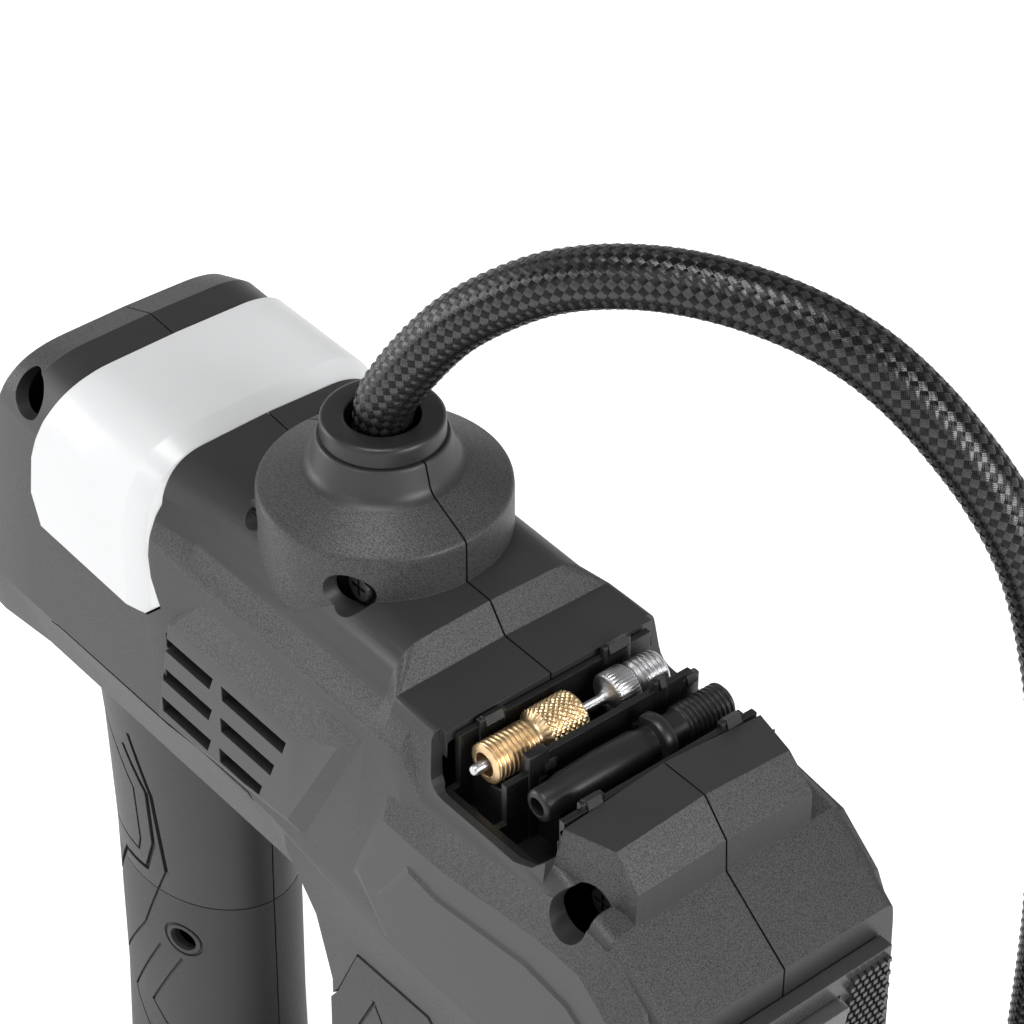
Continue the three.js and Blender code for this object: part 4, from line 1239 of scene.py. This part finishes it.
def make_nozzle():
    stations = [(0, 2.6), (0.3, 3.1), (0.8, 3.3), (4.6, 3.35), (7, 3.8), (16, 4.1), (24, 4), (25.2, 3.5),
                (27.2, 3.4), (27.5, 5.1), (28, 5.4), (29.6, 5.4), (30, 5.1), (30.3, 3.5), (33, 3.4)]
    stations += threaded(34.4, 45.6, 4.0, 0.5) + [(46, 3)]
    nozzle = turned_along_y("nozzle", NOZZLE_AT, NOZZLE_START, stations, 64, (1.9, -1, 20))
    flat = block("flat", (NOZZLE_AT[0] - 8, NOZZLE_AT[0] - 3.4), (3, 12), (230, 242))
    show(cut(nozzle, flat), "inflating_nozzle", "nozzle", "black_plastic", [BLACK], "nozzle", angle=40)


# The tray's clips and posts: x range, y range, z range
TRAY_CLIPS = [
    ((53.9, 55.3), (-18.9, -12.6), (230, 240.4)),
    ((53.9, 55.3), (11.2, 18), (230, 241.4)),
    ((66.9, 68.5), (-15.6, -11), (234, 236.6)),
    ((82.6, 84.2), (-18.9, -13.4), (230, 240.2)),
    ((66.7, 68.5), (12.4, 15.8), (234, 241)),
    ((82.6, 84.2), (15, 20.5), (230, 240.2)),
    ((66.8, 68.4), (19.4, 23.8), (219.5, 238)),
]
POST_OUTLINES = [
    [(56.4, 219.5), (60.4, 229.6), (66.9, 231.4), (66.9, 219.5)],
    [(65.2, 219.5), (65.2, 233.6), (66.4, 240), (68.6, 240), (68.6, 219.5)],
]
POST_Y = [(-20.9, -19.3), (-18.2, -13.4)]


def make_tray_clips():
    """Snap hooks along the tray's walls and the shaped posts beside the adapter."""
    parts = []
    for x, y, z in TRAY_CLIPS:
        low, high = x
        top = z[1]
        outline = [(low, top - 2.4), (low, top), (high, top + 0.6), (high + 0.8, top - 1.2),
                   (high, top - 2.4)]
        parts.append(bevel(block("clip", x, y, z), 0.3, 2))
        parts.append(prism("hook", outline, y[0] + 1, y[1] - 1))
    for outline, (low, high) in zip(POST_OUTLINES, POST_Y):
        parts.append(bevel(prism("post", outline, low, high), 0.3, 2))
    for part in parts:
        bake(part)
    show(merged("clips", parts), "tray_clips", HOUSING, "tray_plastic", [TRAY])


# ---------------------------------------------------------------- the front

def make_front_mesh():
    """The speaker-like front: small square studs in a woven pattern around the lamp's lens."""
    pitch = 1.7
    studs = []
    low, high = FRONT_FACE + 0.3, 123.6
    plate = block("plate", (low, 122.4), (-24.4, 24.4), (168.4, 207))
    stem = block("stem", (114, low + 0.2), (-22, 22), (170, 202.2))
    window = prism("window", [(-11.6, 202.2), (11.6, 202.2), (4.9, 170), (-4.9, 170)], 100, 140, "X")
    plate = cut(join(plate, stem), window)
    rows = int(38 / pitch)
    for k in range(rows):
        z = 169 + k * pitch
        reach = 5.6 + (z - 170) * 0.208
        for i in range(int(48 / pitch)):
            y = -23.8 + i * pitch + (pitch / 2 if k % 2 else 0)
            if abs(y) < reach + 0.9 or y > 23.9:
                continue
            studs.append(block("stud", (122.2, high), (y - 0.5, y + 0.5), (z - 0.5, z + 0.5)))
    mesh = merged("mesh", [plate, *studs])
    show(mesh, "front_weave", HOUSING, "mesh_plastic", [MESH], "front_mesh", angle=20)


# Which bars of a seven-part digit are lit: top, upper left, upper right, middle, lower left,
# lower right, bottom.
DIGIT_BARS = {"2": "1011101", "3": "1011011", "5": "1101011"}


def make_digits(text="32.5", height=9.0):
    """Lit bars on the display's glass."""
    width, bar, gap = 5.0, 0.9, 2.2
    places = [(0, height), (-width / 2, height * 0.75), (width / 2, height * 0.75), (0, height / 2),
              (-width / 2, height / 4), (width / 2, height / 4), (0, 0)]
    level = [True, False, False, True, False, False, True]
    parts = []
    shift = 10.5
    for mark in text:
        if mark == ".":
            parts.append(block("dot", (-0.1, 0.1), (shift + 0.6, shift + 1.6), (-0.5, 0.5)))
            shift -= 0.4
            continue
        for lit, (side, up), flat in zip(DIGIT_BARS[mark], places, level):
            if lit == "0":
                continue
            half = (width / 2 - 0.6, bar / 2) if flat else (bar / 2, height / 4 - 0.6)
            y = shift - width / 2 - side
            parts.append(block("bar", (-0.1, 0.1), (y - half[0], y + half[0]), (up - half[1], up + half[1])))
        shift -= width + gap
    digits = on_display(merged("digits", parts), DISPLAY_MIDDLE - 7, -0.85)
    show(digits, "display_digits", HOUSING, "display_glass", [DIGIT])


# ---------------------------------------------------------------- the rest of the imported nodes

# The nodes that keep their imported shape, by material.
NODE_LOOKS = [
    (BOARD, "band_led_board display_board lamp_board main_board"),
    (BLACK, "display_bezel chuck_body front_frame trigger trigger_switch pressure_sensor screw_drum_front "
            "screw_drum_rear screw_rear screw_front"),
    (GLASS, "display_glass"),
    (RUBBER, "button_mode button_minus button_plus"),
    (TRAY, "tray"),
    (BRASS, "hose_fitting"),
    (NICKEL, "hose_ferrule charge_socket"),
    (STEEL, "chuck_pin chuck_lever trigger_spring motor_can motor_shaft crank_gear crank_bearing "
            "valve_plate screw_handle"),
    (FOOT, "chuck_seal foot_pad piston_seal sensor_tube socket_flap"),
    (LENS, "lamp_lens"),
    (NYLON, "motor_end_cap motor_fan cell_holder"),
    (CAST, "pump_frame piston_rod cylinder cylinder_head"),
    (CELL, "cell_1 cell_2"),
    (LEAD, "battery_lead"),
]
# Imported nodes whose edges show, with the width of their rounding.
NODE_BEVELS = {
    "tray": 0.3, "display_bezel": 0.5, "button_mode": 0.6, "button_minus": 0.6, "button_plus": 0.6,
    "foot_pad": 0.5, "chuck_body": 0.5, "chuck_lever": 0.5, "hose_ferrule": 0.4, "front_frame": 0.8,
    "lamp_lens": 0.5, "trigger": 0.8, "socket_flap": 0.4, "display_glass": 0.2,
}


def dress_nodes():
    """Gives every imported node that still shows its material."""
    for material, names in NODE_LOOKS:
        for name in names.split():
            node = NODES[name]
            node.data.materials.clear()
            node.data.materials.append(material)
            shade(node)
            if name in NODE_BEVELS:
                bevel(node, NODE_BEVELS[name], 2)
    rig.squash(NODES["trigger_spring"], "trigger_pull", (1, 0, 0), to_frame(SPRING_SEAT), keep=0.56)


# ---------------------------------------------------------------- studio

# Brightness of the studio by height, from straight down to straight up.
STUDIO_STOPS = [(0.0, grey(0.9)), (0.5, grey(0.85)), (0.68, grey(0.35)), (1.0, grey(0.16))]
LIGHT_TARGET = Vector((0, 0, 0.23))
FLOOR_GLOW = 0.85
FLOOR_REACH = 6
FLOOR_Z = -0.0005


def aim(obj, place, back):
    """Puts a camera or light at a place, looking away from the direction back."""
    obj.location = place
    obj.rotation_mode = "QUATERNION"
    obj.rotation_quaternion = back.to_track_quat("Z", "Y")


def add_camera():
    azimuth, elevation = math.radians(CAMERA_AZIMUTH), math.radians(CAMERA_ELEVATION)
    back = Vector((math.sin(azimuth) * math.cos(elevation), -math.cos(azimuth) * math.cos(elevation),
                   math.sin(elevation)))
    data = bpy.data.cameras.new("camera")
    data.lens = CAMERA_LENS
    data.sensor_width = 36
    data.clip_start = 0.01
    camera = linked("camera", data)
    aim(camera, CAMERA_TARGET + back * CAMERA_DISTANCE, back)
    bpy.context.scene.camera = camera


def add_light(name, place, size, power):
    data = bpy.data.lights.new(name, "AREA")
    data.shape = "RECTANGLE"
    data.size, data.size_y = size
    data.energy = power
    aim(linked(name, data), place, Vector(place) - LIGHT_TARGET)


def add_floor():
    """A white floor that glows by itself, so that it stays as white as the backdrop."""
    corners = [(-1, -1), (1, -1), (1, 1), (-1, 1)]
    mesh = bpy.data.meshes.new("floor")
    mesh.from_pydata([(x * FLOOR_REACH, y * FLOOR_REACH, FLOOR_Z) for x, y in corners], [], [(0, 1, 2, 3)])
    floor = linked("floor", mesh)
    material, nodes, _ = new_material("white_floor")
    shader = nodes["Principled BSDF"]
    shader.inputs["Base Color"].default_value = (0.5, 0.5, 0.5, 1)
    shader.inputs["Roughness"].default_value = 0.8
    shader.inputs["Emission Color"].default_value = (1, 1, 1, 1)
    shader.inputs["Emission Strength"].default_value = FLOOR_GLOW
    mesh.materials.append(material)
    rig.stage(floor)


def add_world():
    """White toward the camera, bright near the horizon and dim overhead for the object."""
    world = bpy.data.worlds.new("studio")
    bpy.context.scene.world = world
    world.use_nodes = True
    nodes, links = world.node_tree.nodes, world.node_tree.links
    place = nodes.new("ShaderNodeTexCoord")
    split = nodes.new("ShaderNodeSeparateXYZ")
    links.new(place.outputs["Generated"], split.inputs["Vector"])
    height = math_node(nodes, links, "MULTIPLY_ADD", split.outputs["Z"], 0.5, 0.5)
    links.new(ramp(nodes, links, height, STUDIO_STOPS), nodes["Background"].inputs["Color"])
    backdrop = nodes.new("ShaderNodeBackground")
    backdrop.inputs["Color"].default_value = (1, 1, 1, 1)
    ray = nodes.new("ShaderNodeLightPath")
    mix = nodes.new("ShaderNodeMixShader")
    links.new(ray.outputs["Is Camera Ray"], mix.inputs["Fac"])
    links.new(nodes["Background"].outputs["Background"], mix.inputs[1])
    links.new(backdrop.outputs["Background"], mix.inputs[2])
    links.new(mix.outputs["Shader"], nodes["World Output"].inputs["Surface"])


def add_studio():
    add_floor()
    add_world()
    add_light("key", (-1.1, -0.8, 0.5), (0.7, 0.7), 7)
    add_light("front", (1.2, 0.2, 0.65), (0.6, 0.6), 11)
    add_light("top", (0.1, -0.3, 1.4), (0.5, 0.5), 8)
    add_light("near", (0.1, -1.3, 1.0), (0.6, 0.4), 3)
    bpy.context.scene.view_settings.view_transform = "Standard"


add_camera()
make_hose()
make_collar()
make_housing()
make_band()
make_grips()
make_pads()
make_adapter()
make_needle()
make_nozzle()
make_tray_clips()
make_front_mesh()
make_digits()
dress_nodes()
add_studio()

visual_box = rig.bounds()
with open(SIZE_FILE, "w") as size_file:
    json.dump({"cad": [list(c) for c in cad_box], "visual": [list(c) for c in visual_box]}, size_file)
